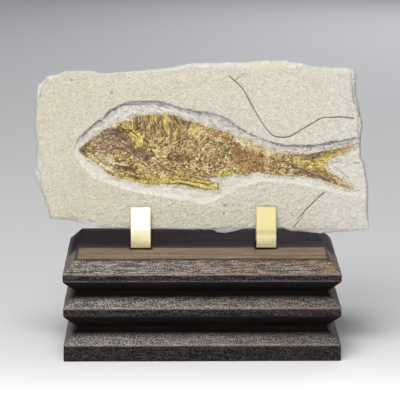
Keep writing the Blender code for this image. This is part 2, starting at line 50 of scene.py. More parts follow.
# ---- Slab: the part's own sizes ----------------------------------------------------------------------
SLAB_THICKNESS = 10.0
SLAB_LEAN = math.radians(12)
SLAB_FOOT_Y = -9.1
SLAB_FOOT_Z = 54.3
SLAB_OUTLINE = [
    (-73, 7.4), (-73.7, 10.9), (-75.4, 16.2), (-77.3, 21), (-78.7, 25.5), (-80.5, 28.2), (-80.4, 29.9),
    (-79.9, 31.1), (-79.4, 39.2), (-79.1, 45), (-80.1, 49.8), (-80.3, 54.6), (-79.6, 64.2),
    (-79.3, 69.2), (-78.6, 71.8), (-75.8, 74), (-74, 76.5), (-69.3, 77.1), (-65.2, 78.8), (-57.6, 79),
    (-51.2, 78.6), (-47.5, 77.5), (-40.3, 78), (-35.5, 78.4), (-28.8, 79), (-20.2, 79.7), (-13, 80.4),
    (-7.2, 82.2), (-1, 82.6), (8.6, 82.4), (13.4, 83), (20.6, 82.7), (25.4, 83.4), (30.2, 83.8),
    (35, 83.4), (41.6, 84), (43.2, 82.8), (48.4, 82.5), (52.2, 80.9), (61.4, 80.4), (69, 80.3),
    (72.6, 79.7), (74.8, 76.2), (74.5, 69), (76.1, 62.3), (77, 57), (78, 51.4), (77.2, 48.3),
    (76.9, 42.6), (77.2, 36.5), (78.7, 34.6), (79.5, 28.2), (80.5, 23.9), (80.5, 16.2), (80.3, 11.4),
    (80.5, 5.6), (80.4, 1.8), (73.4, 1.2), (63.8, 0.6), (56.6, 0), (49.4, 0.8), (42.2, 1.3),
    (39.8, 2.4), (36, 2.4), (26, 2.3), (20.6, 2.3), (16.3, 1.3), (11.5, 0.3), (7.7, 0.7), (5.3, 2),
    (-5.8, 2), (-13.9, 2.2), (-24, 2.3), (-33.6, 2.3), (-39.4, 2.8), (-47, 2.7), (-51.4, 3.7),
    (-56.2, 5.1), (-63.4, 6.6),
]
FACE_SWELL = 0.35
EDGE_BREAK = 1.3
EDGE_DROP = 2.4
EDGE_CHIPS = [
    (-78, 73, 7, 3.4), (-79.5, 33, 9, 1.6), (4, 82, 22, 1.6), (34, 83, 16, 2.6), (62, 80, 12, 1.4),
    (74, 72, 9, 1.3), (12, 1, 6, 1.2), (-54, 5, 7, 1),
]
FLOOR_DEPTH = 1.5
TRENCH_EDGE = [
    (84, 47.9), (76.3, 46.7), (68.6, 45.2), (59, 43.8), (56.6, 42.6), (47, 42.6), (39.8, 42.6),
    (35, 44), (27.8, 45.9), (20.6, 49.5), (16.3, 52.2), (12.5, 55.8), (6.2, 58.2), (-1, 59.1),
    (-10.6, 60.6), (-15.4, 62.7), (-21.1, 63.9), (-29.8, 63.9), (-37, 63), (-42.7, 60.6), (-46.6, 57.2),
    (-49, 55.1), (-53.8, 51.5), (-58.6, 46.9), (-61, 44.5), (-62.9, 40.9), (-61, 36.8), (-58.6, 33.9),
    (-54.7, 29.6), (-51.8, 26.3), (-49, 25.8), (-39.4, 22.2), (-32.2, 20), (-22.6, 18.6), (-14.4, 16.7),
    (-5.8, 15.9), (-3.4, 14.7), (1.4, 13.8), (5.8, 15), (11, 18.1), (15.8, 21), (23, 23.6),
    (30.2, 25.3), (39.8, 24.8), (49.4, 22.9), (59, 20.7), (68.6, 18.6), (76.3, 17.9), (84, 17.6),
]
TRENCH_FLOOR = [
    (84, 46.4), (76.3, 45.2), (68.6, 43.6), (63.8, 42.6), (57.6, 41.3), (49.4, 40.6), (42.2, 40.8),
    (37.4, 41.4), (32.6, 42.8), (27.8, 45), (20.6, 47.9), (15.8, 50.3), (11, 53.9), (6.2, 55.1),
    (-1, 55.8), (-5.8, 57.5), (-10.6, 59.2), (-15.4, 60.6), (-20.2, 61.9), (-29.8, 62.2), (-37, 61.3),
    (-43.2, 57.2), (-49, 52.2), (-51.4, 50.3), (-53.8, 48.6), (-56.2, 45.9), (-58.6, 43.8), (-60, 41.9),
    (-61.2, 40.3), (-60.5, 38.3), (-58.6, 36.1), (-54.2, 32.5), (-50.4, 29.4), (-47, 27), (-39.4, 23.9),
    (-32.2, 21.9), (-25, 21), (-14.4, 19.5), (-5.8, 18.6), (1.4, 16.9), (8.6, 18.6), (12, 21),
    (15.8, 23.9), (23, 25.8), (30.2, 26.6), (39.8, 25.9), (49.4, 24.8), (59, 22.7), (68.6, 20.1),
    (76.3, 19.1), (84, 19.1),
]
CRACKS = [
    [
        (13.4, 75.9), (18.2, 71.6), (20.6, 69), (23, 64.2), (26.4, 57.9), (30.2, 51.7), (33.1, 48.1),
        (36, 46.4), (42.2, 46.4), (46.1, 48.8), (50.9, 51.7), (53.8, 53.4), (58.1, 56.1), (62.4, 55.8),
        (66.2, 56.2), (73, 55.4),
    ],
    [(16.3, 73.8), (18.2, 75.2), (21.1, 76.9)],
    [(59, 20), (56.2, 17.6), (51.8, 13.3), (49.4, 11), (46.1, 7.3)],
    [(49, 10.2), (48.5, 8), (45.6, 4.9), (44.2, 3)],
]
PITS = [(11.0, 13.8, 0.8), (10.6, 9.9, 0.7), (-43.0, 68.0, 0.7), (-62.4, 74.0, 0.8), (33.0, 12.0, 0.7)]
PIT_DEPTH = 0.5
BACK_LEDGE = 1.3
BACK_LEDGE_WIDTH = 1.5
BACK_LEDGE_LINE = [(-62.0, -5.0), (-50.0, 14.0), (-30.0, 20.0), (-14.0, 36.0), (2.0, 58.0), (22.0, 90.0)]

# ---- Slab: what is finer here ------------------------------------------------------------------------
FRONT_SPACING = 0.58 * COARSER
TRENCH_SPACING = 0.32 * COARSER
RIM_SPACING = 0.8 * COARSER
BACK_SPACING = 1.35 * COARSER
RIM_CHIPS = 0.45  # how far small chips bite into the rim
LAYER = 0.5  # thickness of the layers that the stone breaks along
RELIEF = 0.34  # height of the grain that runs over the split face
RELIEF_SIZE = (3.0, 1.8)
RELIEF_TURN = math.radians(16)
FLOOR_RELIEF = 0.13
LOWER_LAYER = 1.1  # how far a layer at the right, below the trench, lies under the face
TRENCH_RAGS = 0.6  # how far the trench's edges wander
TRENCH_LIFT = 0.55  # how much higher its upper edge runs here
CRACK_DEPTH = 0.5
CRACK_HALF_WIDTH = 0.44
CRACK_SPACING = 0.8
SCRATCH_DEPTH = 0.3
SCRATCH_HALF_WIDTH = 0.55
CRACK_STRENGTHS = (1.0, 0.45, 0.9, 0.75)
CRACK_STEPS = (-0.45, -0.16, 0.16, 0.45)  # lines beside a crack that carry its walls
SIDE_LEVELS = (0.12, 0.22, 0.3, 0.4, 0.5, 0.58, 0.68, 0.78, 0.9, 1.0)  # shares of the thickness
# Places along the rim where a layer has flaked off: (u, v, half width, half height).
FLAKES = [
    (76.8, 64, 2.6, 9), (78.2, 46, 3.2, 8), (80.4, 24, 1.8, 10), (-80, 34, 3.6, 8), (-77, 76, 5, 5),
    (-62, 6, 13, 2.4), (12, 0.8, 9, 2.8), (58, 0.6, 16, 1.9),
]
FLAKE_DEPTH = 0.6
# Marks of the tool on the trench: (count, half length, half width, spread of tone above and below the fish)
TRENCH_MARKS = [
    (3600, 2.2, 0.6, 0.09, 0.035), (4200, 1.6, 0.36, 0.12, 0.05), (2600, 0.9, 0.26, 0.15, 0.05),
]
# The tone of the wall above the fish, at places along u: painted shade, as that wall faces down.
UPPER_WALL_SHADE_TONES = [
    (-58, 0.34), (-35, 0.43), (-15, 0.49), (0, 0.56), (12, 0.54), (28, 0.34), (42, 0.22),
]
# Painted shade along the upper edge of the wall above the fish.
UPPER_EDGE_SHADE = 0.25  # how much darker the wall is along its upper edge
# The lower wall's tone is painted light, lighter as that wall faces up.
TRENCH_TONES = {"upper floor": 0.72, "lower wall": 0.86, "lower floor": 0.76}
TRENCH_SHADES = [
    (0, (96, 92, 96)), (0.3, (158, 154, 163)), (0.55, (198, 194, 188)), (0.8, (226, 222, 211)),
    (1, (243, 240, 230)),
]
DARK_SCRATCHES = 200  # short marks on the wall above the fish
DARK_SCRATCH = (0.9, 0.2)  # half length and half width
DARK_SCRATCH_TONE = 0.3
SCRATCHES = [  # dark breaks on the trench wall above the fish, and two beside the rim
    [(-45.1, 57.6), (-43.2, 59.3), (-40.8, 60.4), (-38.6, 60.9)],
    [(-38.2, 61.8), (-35, 62.3), (-31.7, 62), (-28.3, 62.6), (-24, 62.5)],
    [(-23, 62.9), (-19.2, 61.6), (-15.8, 60.6)],
    [(3.4, 55), (5.6, 53.4), (6.4, 52)],
    [(10.2, 53.4), (11.6, 52.2), (14.2, 51.4)],
    [(8.8, 54.3), (11.4, 54.4)],
    [(63.4, 32.6), (66, 30.6), (68.4, 28.9), (70.6, 26.8)],
    [(72, 77.4), (71.8, 74), (72.8, 69), (72.6, 65.4), (73.8, 62.4)],
    [(75.8, 57.6), (74.8, 54.8), (75.4, 51.4), (74.6, 48.6)],
    [(-73.6, 74.2), (-76.4, 71.2), (-77.4, 66)],
]
YELLOW_STAINS = [
    (32.6, 81.2, 9, 2.4), (-32.2, 75.8, 2.6, 1), (-8, 75.4, 2, 1.2), (58, 78, 6, 1.4),
    (31, 14.6, 5.5, 1.2), (-47, 14.8, 5.5, 1),
]

# ---- Fish: the part's own sizes ----------------------------------------------------------------------
FISH_OUTLINE = [
    (-59.5, 40.4), (-58.6, 41.9), (-55.7, 44.7), (-52.3, 47.3), (-49, 49.1), (-47.5, 50.7),
    (-44.2, 51.7), (-41.3, 54.1), (-37, 55.1), (-34.1, 56.7), (-29.8, 57.7), (-25, 58.2), (-17.8, 58.4),
    (-13, 57.9), (-6.7, 55.5), (-2.4, 54.3), (4.8, 51.7), (13.4, 49.3), (17.3, 47.4), (22.1, 45.5),
    (27.8, 43.5), (32.6, 41.2), (37.4, 39.8), (42.2, 39.1), (47, 38.9), (51.8, 39.2), (56.6, 40.2),
    (61.4, 40.9), (66.2, 42.1), (71, 43.2), (75.6, 43.8), (73.4, 41.6), (71, 39.9), (68.6, 38),
    (61.4, 34.7), (59.8, 32.5), (61.4, 30.6), (66.2, 27.7), (71, 24.3), (75.8, 21.2), (73.4, 20.6),
    (68.6, 21.7), (63.8, 23.1), (56.6, 25.5), (49.4, 27), (42.2, 27.2), (32.6, 27.9), (25.4, 29.1),
    (21.6, 27.5), (15.8, 28.4), (11, 27), (4.8, 26.5), (6.2, 25.5), (9.1, 25.3), (9.1, 20.7),
    (1.4, 20.5), (-3.4, 21.2), (-8.2, 22.9), (-15.4, 23.4), (-25, 23.1), (-29.8, 24.1), (-37.4, 25.8),
    (-45.1, 28.2), (-48, 31.3), (-52.8, 34.9), (-56.2, 36.8), (-58.6, 39),
]
FISH_SWELL = 0.65
FISH_SHOULDER = 5.0
BACKBONE = [
    (-33, 45.6), (-20.2, 44.5), (-1, 41.6), (18.2, 37.8), (32.6, 35.1), (47, 33.6), (55, 32.8),
]
BACKBONE_RISE = 0.22
BACKBONE_HALF_WIDTH = 1.1
VERTEBRA_PITCH = 2.6
RIB_LEAN = math.radians(27)
HEAD_PLATES = [  # raised rims of the skull, the gill cover, the cheek and the jaw
    [(-47.6, 49.6), (-43.6, 49.9), (-39.6, 48.2), (-36, 45.4), (-34.4, 43.8)],
    [(-38.2, 52.6), (-34.9, 48.8), (-33.4, 43.5), (-33.6, 37.6), (-36.4, 32), (-40.6, 28.6)],
    [(-42, 47.6), (-41.2, 42), (-42.4, 36.6), (-45.8, 32.4)],
    [(-58.2, 40), (-53.6, 38.6), (-49.4, 36.4), (-46.6, 34.6)],
]
EYE = (-49.6, 43.6, 2.5)
TAIL_ROOT = (55.5, 32.8)
TAIL_FAN = [
    (74.6, 43.3), (71.8, 42.2), (69.8, 40.2), (66.4, 38.3), (62.8, 36.3), (60, 34.2),
    (60, 31), (63, 28.6), (66.4, 26.3), (70, 23.6), (74.4, 21.3), (69.4, 22.3),
]
BELLY_FIN_ROOT = (-10.5, 25.2)
BELLY_FIN_FAN = [(8.2, 24.4), (8.4, 23.0), (8.4, 21.6), (4.6, 21.1), (0.6, 21.0)]

# ---- Fish: what is finer here ------------------------------------------------------------------------
SKIN_SPACING = 0.24 * COARSER
FISH_RIM_SPACING = 0.35 * COARSER
FISH_RIM_RAGS = 0.8  # how far the ragged rim bites in
FISH_SUNK = 0.25  # how deep the underside lies in the trench floor
FISH_EDGE = 0.12  # height of the rim over the floor
BONE_RISE = 0.13
BONE_HALF_WIDTH = 0.6
EYE_CORNERS = 14
FLECK_RISE = 0.2
CELL = 0.12  # of the canvas that flecks are laid on
CHANNELS = ("tone", "yellow", "orange", "purple", "pale", "rise")
# Layers of flecks, first to last: (count, half length, half width, tone, spread, rise)
FLECK_LAYERS = [
    (2400, 2.1, 0.62, 0.48, 0.19, 0.35),
    (5600, 1.8, 0.34, 0.58, 0.24, 0.6),
    (3600, 1.05, 0.3, 0.64, 0.25, 0.9),
    (1900, 1.1, 0.2, 0.12, 0.1, 0.1),
    (900, 0.9, 0.3, 0.85, 0.1, 1),
]
CRUMB = 1.08  # half length under which a fleck is a crumb
COMBED = 0.32  # stray under which the flecks lie in line and crumbs are few
FLECK_SHADOW = 0.14  # how far the dark rim under a fleck reaches past it
SHADOW_SHARE = 0.3
FLECK_SHARES = {"brown": 0.52, "yellow": 0.19, "orange": 0.07, "purple": 0.15, "pale": 0.07}
KIND_CLOUD = 3.8  # size of the places where one kind of fleck gathers
# Slow changes of tone: (size, strength, seed).
CLOUDS = [(9.0, 0.1, 401.0), (3.4, 0.24, 411.0), (1.5, 0.1, 421.0)]
# Places that differ: (kind, tone, strength, u, v, half length, half width, turn in degrees).
PATCHES = [
    ("purple", 0.12, 1, -58.1, 40.9, 2.6, 1.8, 40),  # dark tip of the snout
    ("pale", 0.75, 0.9, -54.2, 45.7, 2.4, 0.9, 42),  # stripe above the snout
    ("purple", 0.4, 0.85, -45.5, 44.6, 9, 4.4, -8),  # side of the head
    ("purple", 0.26, 1.2, -44.6, 50, 4.4, 1.6, -12),  # skull
    ("purple", 0.2, 1.6, -38.2, 47.4, 5.4, 1.5, -35),
    ("pale", 0.85, 0.9, -41.8, 52.2, 1.6, 1.3, 30),
    ("yellow", 0.64, 1.3, -33, 48.4, 5.2, 2, -52),  # bright patch behind the skull
    ("yellow", 0.66, 0.9, -30, 45.6, 2.2, 4.4, 0),
    ("brown", 0.44, 0.6, -24, 51, 6, 6.5, 0),  # fibres of the back
    ("brown", 0.46, 0.6, -11, 50, 5, 6, 0),
    ("purple", 0.26, 1.4, -28.3, 38.5, 4.2, 2.7, -20),
    ("purple", 0.3, 1.2, -34.5, 41, 3.4, 1.8, -20),
    ("pale", 0.68, 1, -46.6, 35.6, 5.2, 3.4, -25),  # cheek
    ("brown", 0.12, 1, -35.5, 31.9, 4.4, 0.8, -10),
    ("yellow", 0.62, 0.8, -25, 26, 17, 2.4, -3),  # belly
    ("brown", 0.1, 1, -31.8, 27.3, 1.7, 0.7, -20),
    ("brown", 0.15, 1, -9, 24.4, 5.5, 0.5, -18),
    ("yellow", 0.7, 1.4, -17.3, 53, 0.9, 4.4, 8),
    ("yellow", 0.62, 0.9, -23, 57.2, 7, 1, 0),
    ("purple", 0.2, 1, -10.6, 54.4, 3.8, 0.8, -14),
    ("yellow", 0.74, 1.6, -3.8, 49.4, 2.8, 2.3, 20),  # brightest yellow
    ("orange", 0.5, 0.8, 6.7, 48.8, 4, 2.2, -15),
    ("pale", 0.9, 0.9, 7.7, 45.5, 1.7, 0.6, -10),
    ("brown", 0.62, 0.4, -4.3, 43.6, 8, 4.6, 50),
    ("yellow", 0.76, 1.6, -16.8, 39, 4, 1, 50),
    ("brown", 0.16, 0.7, -10.6, 36.3, 5.4, 1.5, -8),
    ("orange", 0.45, 0.9, 12.5, 46.8, 2.2, 1.8, 0),
    ("purple", 0.42, 0.8, 17.6, 40.8, 4.2, 2.4, -20),
    ("orange", 0.62, 0.9, 24.2, 40.2, 2, 2, 0),
    ("orange", 0.34, 1.2, 23.6, 35, 7.6, 5.4, -6),  # reddish brown block
    ("orange", 0.3, 0.9, 17.4, 40.2, 3.4, 2.6, -20),
    ("pale", 0.62, 1.2, 26, 42.6, 11, 2.2, -24),
    ("pale", 0.66, 0.8, 31.4, 34.9, 1.3, 4.6, 0),
    ("yellow", 0.6, 0.8, 13, 28.6, 6, 1.5, 0),
    ("yellow", 0.7, 1, -1, 23.2, 10, 2.2, -14),  # belly fin
    ("brown", 0.5, 0.5, 39, 34.6, 5.6, 4.6, -10),  # root of the tail
    ("yellow", 0.66, 1.1, 48.6, 35.6, 3.8, 1.9, 0),
    ("purple", 0.32, 1.4, 59.6, 39.4, 9, 1.3, 17),
    ("orange", 0.62, 1.4, 69.4, 41, 3.8, 1, 22),
    ("yellow", 0.68, 1.2, 61.5, 36.9, 5.4, 1.7, 25),
    ("purple", 0.4, 1.1, 52.5, 29, 11, 1.3, -23),
    ("orange", 0.66, 1, 64.8, 26, 3, 1.1, -30),
    ("pale", 0.7, 0.9, 70, 23.4, 3.6, 1, -30),
    ("yellow", 0.72, 1, 57, 32.4, 4.2, 2, 0),
]
# Which way the flecks run and how far they stray from it: (u, v, reach, turn and stray in degrees).
FLOWS = [
    (-55, 41, 6, 25, 30), (-50, 46, 6, 35, 26), (-48, 36, 6, -35, 28), (-42, 50, 6, -10, 24),
    (-36, 46, 6, -48, 20), (-30, 45, 5, 84, 30), (-24, 52, 8, 84, 12), (-14, 53, 7, 98, 13),
    (-36, 33, 7, -25, 34), (-28, 37, 8, -12, 38), (-16, 40, 6, 48, 24), (-6, 46, 8, 52, 18),
    (-10, 33, 8, -15, 38), (-24, 27, 9, -22, 30), (4, 38, 9, 40, 36), (6, 48, 7, -30, 34),
    (-2, 23.5, 5, -17, 9), (-9, 55.5, 5, -20, 18), (20, 42, 8, -25, 34), (18, 33, 9, 15, 44),
    (32, 35, 7, 60, 44), (40, 34, 7, -15, 36), (56, 38.5, 7, 12, 13), (68, 41, 7, 18, 10),
    (54, 28, 7, -22, 13), (66, 25, 7, -30, 10),
]
# Lines drawn over the flecks: (kind, tone, half width, points).
STROKES = [
    (
        "brown", 0.04, 0.3,
        [(-37, 49.8), (-35.4, 50.3), (-34.1, 50.2), (-33, 48.9), (-31.6, 48), (-30.5, 46.6)],
    ),
    ("brown", 0.06, 0.3, [(-37.4, 50.6), (-36.4, 49.2), (-35, 48.6), (-33.9, 49.6)]),
    ("brown", 0.26, 0.2, [(-50, 36.8), (-47.6, 34.4), (-44.6, 33.2), (-41.6, 33)]),
    ("brown", 0.1, 0.28, [(-46.6, 38.6), (-44.2, 36), (-41.6, 34.8), (-38.8, 34.6)]),
    ("pale", 0.85, 0.26, [(-48.6, 34), (-45.6, 31.6), (-42.4, 30.2)]),
    ("pale", 0.8, 0.26, [(-45.4, 37), (-42.4, 34.9), (-39, 33.6), (-36.6, 33.2)]),
    ("brown", 0.06, 0.3, [(-39.4, 32.4), (-36.6, 32.2), (-33.8, 31.3), (-31.8, 31)]),
    ("brown", 0.12, 0.26, [(-16, 23.9), (-10, 24.6), (-5, 23.4), (0, 21.9), (5, 21.2)]),
    ("yellow", 0.8, 0.26, [(-12, 25.7), (-6, 24.8), (0, 23.3), (6, 22.2)]),
    ("brown", 0.14, 0.26, [(-10, 26.3), (-4, 25.2), (3, 23.9)]),
    ("brown", 0.1, 0.3, [(-19, 36.4), (-16, 36), (-13.4, 36.9), (-11.6, 38)]),
    ("purple", 0.14, 0.32, [(44, 32.6), (50, 30.2), (56, 27.6), (62, 24.9)]),
    ("purple", 0.16, 0.4, [(51, 37.4), (55, 38.5), (60, 39.8), (66, 41.6)]),
    ("purple", 0.24, 0.75, [(-46, 50.4), (-42, 49.5), (-38, 47.6), (-35.4, 45.2), (-34, 43.6)]),
]

# ---- Wooden base: the part's own sizes ---------------------------------------------------------------
BASE_WIDTH = 131.0
BASE_DEPTH = 80.0
BASE_PROFILE = [
    (0, 0), (0, 7.8), (6, 13.8), (6, 15.6), (0, 21.4), (0, 25.6),
    (5.7, 31.2), (5.9, 32.4), (0, 38), (0, 41.9), (6.2, 48.1),
]

# ---- Wooden base: what is finer here -----------------------------------------------------------------
BASE_WORN = 0.6  # how far the edges of the moulding are worn round
CORNER_ROUND = 0.9
CORNER_STEPS = 3
PROFILE_SPACING = 0.55 * COARSER
LENGTH_SPACING = 1.5 * COARSER
END_SPACING = 0.9 * COARSER
TOP_SPACING = 1.1 * COARSER
WOOD_RELIEF = 0.09
WOOD_DIPS = 0.12
WOOD_KNOCKS = 0.5
GRAIN_LENGTH = 5.0
GRAIN_WIDTH = 0.9

# ---- Brass holders -----------------------------------------------------------------------------------
HOLDER_MIDDLES = (-29.1, 30.9)
HOLDER_SHADOW_SPAN = (-14.7, -13.9)  # the painted contact shadow of a holder on the wood in front of it
FOOT_SHADOW_HEIGHTS = (48.95, 48.55)  # heights of the painted shadow line along its foot
LIP_DEPTHS = (-3.0, -6.0)  # and how far forward it is
LIP_HEIGHTS = (54.0, 56.0)  # between which the lip's painted-light colour takes over
# Linear colours of the two lips: painted light, the left pale as a painted highlight and the right darker
# as painted shade.
LIP_LIGHT_COLOURS = {"left": (0.98, 0.95, 0.74, 1.0), "right": (0.74, 0.65, 0.33, 1.0)}


# ---- Plane geometry ----------------------------------------------------------------------------------
def smooth(value, low, high):
    """0 at low and 1 at high, eased at both ends. Low can be the greater of the two."""
    part = np.clip((np.asarray(value, float) - low) / (high - low), 0.0, 1.0)
    return part * part * (3.0 - 2.0 * part)


def in_lots(work, points, lot=3000):
    """The same as work(points), a lot at a time, so that large tables fit in memory."""
    return np.concatenate([work(points[i : i + lot]) for i in range(0, len(points), lot)])


def distance_to(points, line, closed=False):
    """Distance from each point to the nearest place on a line of straight stretches."""
    starts = np.asarray(line, float)
    ends = np.roll(starts, -1, axis=0)
    if not closed:
        starts, ends = starts[:-1], ends[:-1]
    run = ends - starts
    length = (run * run).sum(1)

    def nearest(lot):
        away = lot[:, None, :] - starts
        share = np.clip((away * run).sum(2) / length, 0.0, 1.0)
        return np.linalg.norm(away - share[..., None] * run, axis=2).min(axis=1)

    return in_lots(nearest, np.asarray(points, float))


def is_inside(points, outline):
    starts = np.asarray(outline, float)
    ends = np.roll(starts, -1, axis=0)
    rise = np.where(ends[:, 1] == starts[:, 1], 1.0, ends[:, 1] - starts[:, 1])

    def inside(lot):
        x, y = lot[:, :1], lot[:, 1:]
        spans = (starts[:, 1] > y) != (ends[:, 1] > y)
        crossing = starts[:, 0] + (y - starts[:, 1]) * (ends[:, 0] - starts[:, 0]) / rise
        return (spans & (x < crossing)).sum(axis=1) % 2 == 1

    return in_lots(inside, np.asarray(points, float))


def waves(points, size, seed, turn=0.0):
    """Smooth noise from -1 to 1. Its bumps have one size, or one along and one across the turn."""
    along, across = np.broadcast_to(size, 2)
    c, s = math.cos(turn), math.sin(turn)
    a = (points[:, 0] * c + points[:, 1] * s) / along
    b = (points[:, 1] * c - points[:, 0] * s) / across
    return np.array([noise.noise(Vector((x, y, seed))) for x, y in zip(a.tolist(), b.tolist())])


def grain(points, size, seed, turn=0.0, octaves=3):
    """Waves with finer and finer waves on them, from about -1 to 1."""
    size = np.broadcast_to(size, 2)
    total = sum(0.55**k * waves(points, size / 2.1**k, seed + 7.3 * k, turn) for k in range(octaves))
    return total / sum(0.55**k for k in range(octaves)) * 1.3


def beside(line, offset):
    line = np.asarray(line, float)
    run = np.gradient(line, axis=0)
    across = np.stack([-run[:, 1], run[:, 0]], axis=1) / np.linalg.norm(run, axis=1)[:, None]
    return line + across * offset


def closed(outline):
    return np.vstack([outline, outline[:1]])


def along(line, step):
    """Points at even steps along a line of straight stretches."""
    line = np.asarray(line, float)
    lengths = np.concatenate([[0.0], np.cumsum(np.linalg.norm(np.diff(line, axis=0), axis=1))])
    places = np.linspace(0.0, lengths[-1], max(2, round(lengths[-1] / step) + 1))
    return np.stack([np.interp(places, lengths, line[:, k]) for k in range(2)], axis=1)


def rounded(line, rounds=2):
    """The line with its corners cut off again and again, so that it bends smoothly."""
    line = np.asarray(line, float)
    for _ in range(rounds):
        first, second = line[:-1] * 0.75 + line[1:] * 0.25, line[:-1] * 0.25 + line[1:] * 0.75
        middle = np.stack([first, second], axis=1).reshape(-1, 2)
        line = np.vstack([line[:1], middle[1:-1], line[-1:]])
    return line


def inward(outline):
    """Unit directions into an outline that runs round it with the inside on the left."""
    outline = np.asarray(outline, float)
    run = np.roll(outline, -2, axis=0) - np.roll(outline, 2, axis=0)
    return np.stack([-run[:, 1], run[:, 0]], axis=1) / np.linalg.norm(run, axis=1)[:, None]


def chipped(outline, step, bite, size, seed):
    """A closed outline at even steps, with small bites out of it and none beyond it."""
    rim = along(closed(outline), step)[:-1]
    rough = 0.5 + 0.5 * grain(rim, size, seed)
    return rim + inward(rim) * (bite * np.clip(rough, 0.0, 1.0))[:, None]


def grid_points(outline, spacing):
    """Staggered rows of points over an outline's box, each moved a little."""
    low, high = np.min(outline, axis=0), np.max(outline, axis=0)
    rows = np.arange(low[1], high[1], spacing * 0.87)
    columns = np.arange(low[0], high[0], spacing)
    points = np.array([(u + (k % 2) * spacing / 2, v) for k, v in enumerate(rows) for u in columns])
    points = points + np.random.default_rng(4).uniform(-0.18, 0.18, points.shape) * spacing
    return points[is_inside(points, outline)]


def in_box(points, line, room):
    """Whether each point lies in the box round a line, with some room to spare."""
    return ((points > line.min(0) - room) & (points < line.max(0) + room)).all(1)


def away_from(points, lines, room):
    """The points that lie further than the room from every line."""
    for line in lines:
        near = in_box(points, line, room)
        clear = ~near
        if near.any():
            clear[near] = distance_to(points[near], line) > room
        points = points[clear]
    return points


def triangulate(outline, lines, loose):
    """Triangles that fill the outline, with every line kept as edges and every loose point as a corner."""
    corners = [tuple(p) for p in outline]
    edges = []
    for line in lines:
        first = len(corners)
        corners += [tuple(p) for p in line]
        edges += [(i, i + 1) for i in range(first, len(corners) - 1)]
    corners += [tuple(p) for p in loose]
    made = delaunay_2d_cdt([Vector(p) for p in corners], edges, [list(range(len(outline)))], 1, 1e-4)
    faces = np.array([tuple(face) for face in made[2]])
    used, faces = np.unique(faces, return_inverse=True)
    points = np.array([tuple(made[0][i]) for i in used])
    return points, faces.reshape(-1, 3)


def border_of(faces):
    """The corners round the rim of a patch of triangles, in order."""
    sides = {(a, b) for face in faces.tolist() for a, b in zip(face, face[1:] + face[:1])}
    following = {a: b for a, b in sides if (b, a) not in sides}
    loop = [min(following)]
    while following[loop[-1]] != loop[0]:
        assert len(loop) < len(following), "the rim crosses itself"
        loop.append(following[loop[-1]])
    return loop


def with_depth(points, depth):
    return np.column_stack([points, np.broadcast_to(depth, len(points))])


def on_slab(points):
    """From the slab's own (u, v, w) to the object's (x, y, z)."""
    u, v, w = np.asarray(points, float).T
    s, c = math.sin(SLAB_LEAN), math.cos(SLAB_LEAN)
    return np.stack([u, SLAB_FOOT_Y + v * s - w * c, SLAB_FOOT_Z + v * c + w * s], axis=1)


def make_mesh(name, points, faces, masks):
    """A mesh from millimetres, with a number per corner for each mask."""
    mesh = bpy.data.meshes.new(name)
    mesh.from_pydata((points * MM).tolist(), [], faces.tolist())
    mesh.update()
    for mask, values in masks.items():
        mesh.attributes.new(mask, "FLOAT", "POINT").data.foreach_set("value", values.astype(np.float32))
    return mesh


def band(upper, lower):
    """Triangles between two rings of corners."""
    upper_next, lower_next = np.roll(upper, -1), np.roll(lower, -1)
    return [np.stack([upper, lower, lower_next], 1), np.stack([upper, lower_next, upper_next], 1)]


def close_solid(name, front, front_faces, rings, back, back_faces, masks):
    """One closed mesh from a front patch, rings down its sides and a back patch.

    A mask is a number per corner of the front, which the sides and the back don't have. The sides get a
    mask of their own, and the corners' own places on the slab are kept too, for the materials.
    """
    rim = border_of(front_faces)
    rim_back = border_of(back_faces)
    points = [front]
    faces = [front_faces]
    upper = np.array(rim)
    total = len(front)
    for ring in rings[1:-1]:
        points.append(ring)
        lower = total + np.arange(len(rim))
        total += len(rim)
        faces += band(upper, lower)
        upper = lower
    sides = slice(len(front), total)
    points.append(back)
    # The back patch starts from the last ring's corners, whose order its own rim keeps.
    nearest = np.array([np.argmin(((back[rim_back, :2] - p[:2]) ** 2).sum(1)) for p in rings[-1]])
    faces += band(upper, total + np.array(rim_back)[nearest])
    faces.append(total + back_faces[:, ::-1])
    points = np.vstack(points)
    masks = {mask: np.pad(values, (0, len(points) - len(values))) for mask, values in masks.items()}
    masks["side"] = np.zeros(len(points))
    masks["side"][sides] = 1.0
    mesh = make_mesh(name, on_slab(points), np.vstack(faces), masks)
    place = mesh.attributes.new("place", "FLOAT_VECTOR", "POINT")
    place.data.foreach_set("vector", points.astype(np.float32).ravel())
    return mesh


def add_object(name, data):
    made = bpy.data.objects.new(name, data)
    bpy.context.scene.collection.objects.link(made)
    return made


def add_piece(name, mesh, material, slot, *nodes):
    """A finished mesh as a piece of the scene that stands for CAD nodes."""
    piece = add_object(name, mesh)
    mesh.materials.append(material)
    mesh.polygons.foreach_set("use_smooth", [True] * len(mesh.polygons))
    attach(piece, "root")
    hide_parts(*nodes)
    return piece


# ---- Stone slab --------------------------------------------------------------------------------------
def bell(points, middle, reach):
    """1 in the middle, falling to 0 round it. The reach is one number, or one along u and one along v."""
    return np.exp(-(((points - middle) / reach) ** 2).sum(axis=1))


def face_level(points):
    """The level of the split face: a slow swell, and a layer that is missing at the lower right."""
    u, v = points.T
    swell = FACE_SWELL * (0.5 + 0.5 * waves(points, 24.0, 3.0))
    lower_layer = LOWER_LAYER * smooth(u, 40.0, 62.0) * smooth(v, 6.0, 20.0) * (v < 35.0)
    return -swell - lower_layer


def break_width(points):
    """How far in from the rim the face is broken away."""
    width = np.full(len(points), EDGE_BREAK)
    for u, v, reach, extra in EDGE_CHIPS:
        width += extra * bell(points, (u, v), reach)
    return width * (1.0 + 0.6 * grain(points, 2.4, 15.0))


def layered(depth, points, seed):
    """Depth in ragged steps, as the stone's thin layers break."""
    ragged = depth + 0.35 * LAYER * grain(points, 2.2, seed)
    count = np.floor(ragged / LAYER)
    return (count + smooth(ragged / LAYER - count, 0.25, 0.95)) * LAYER


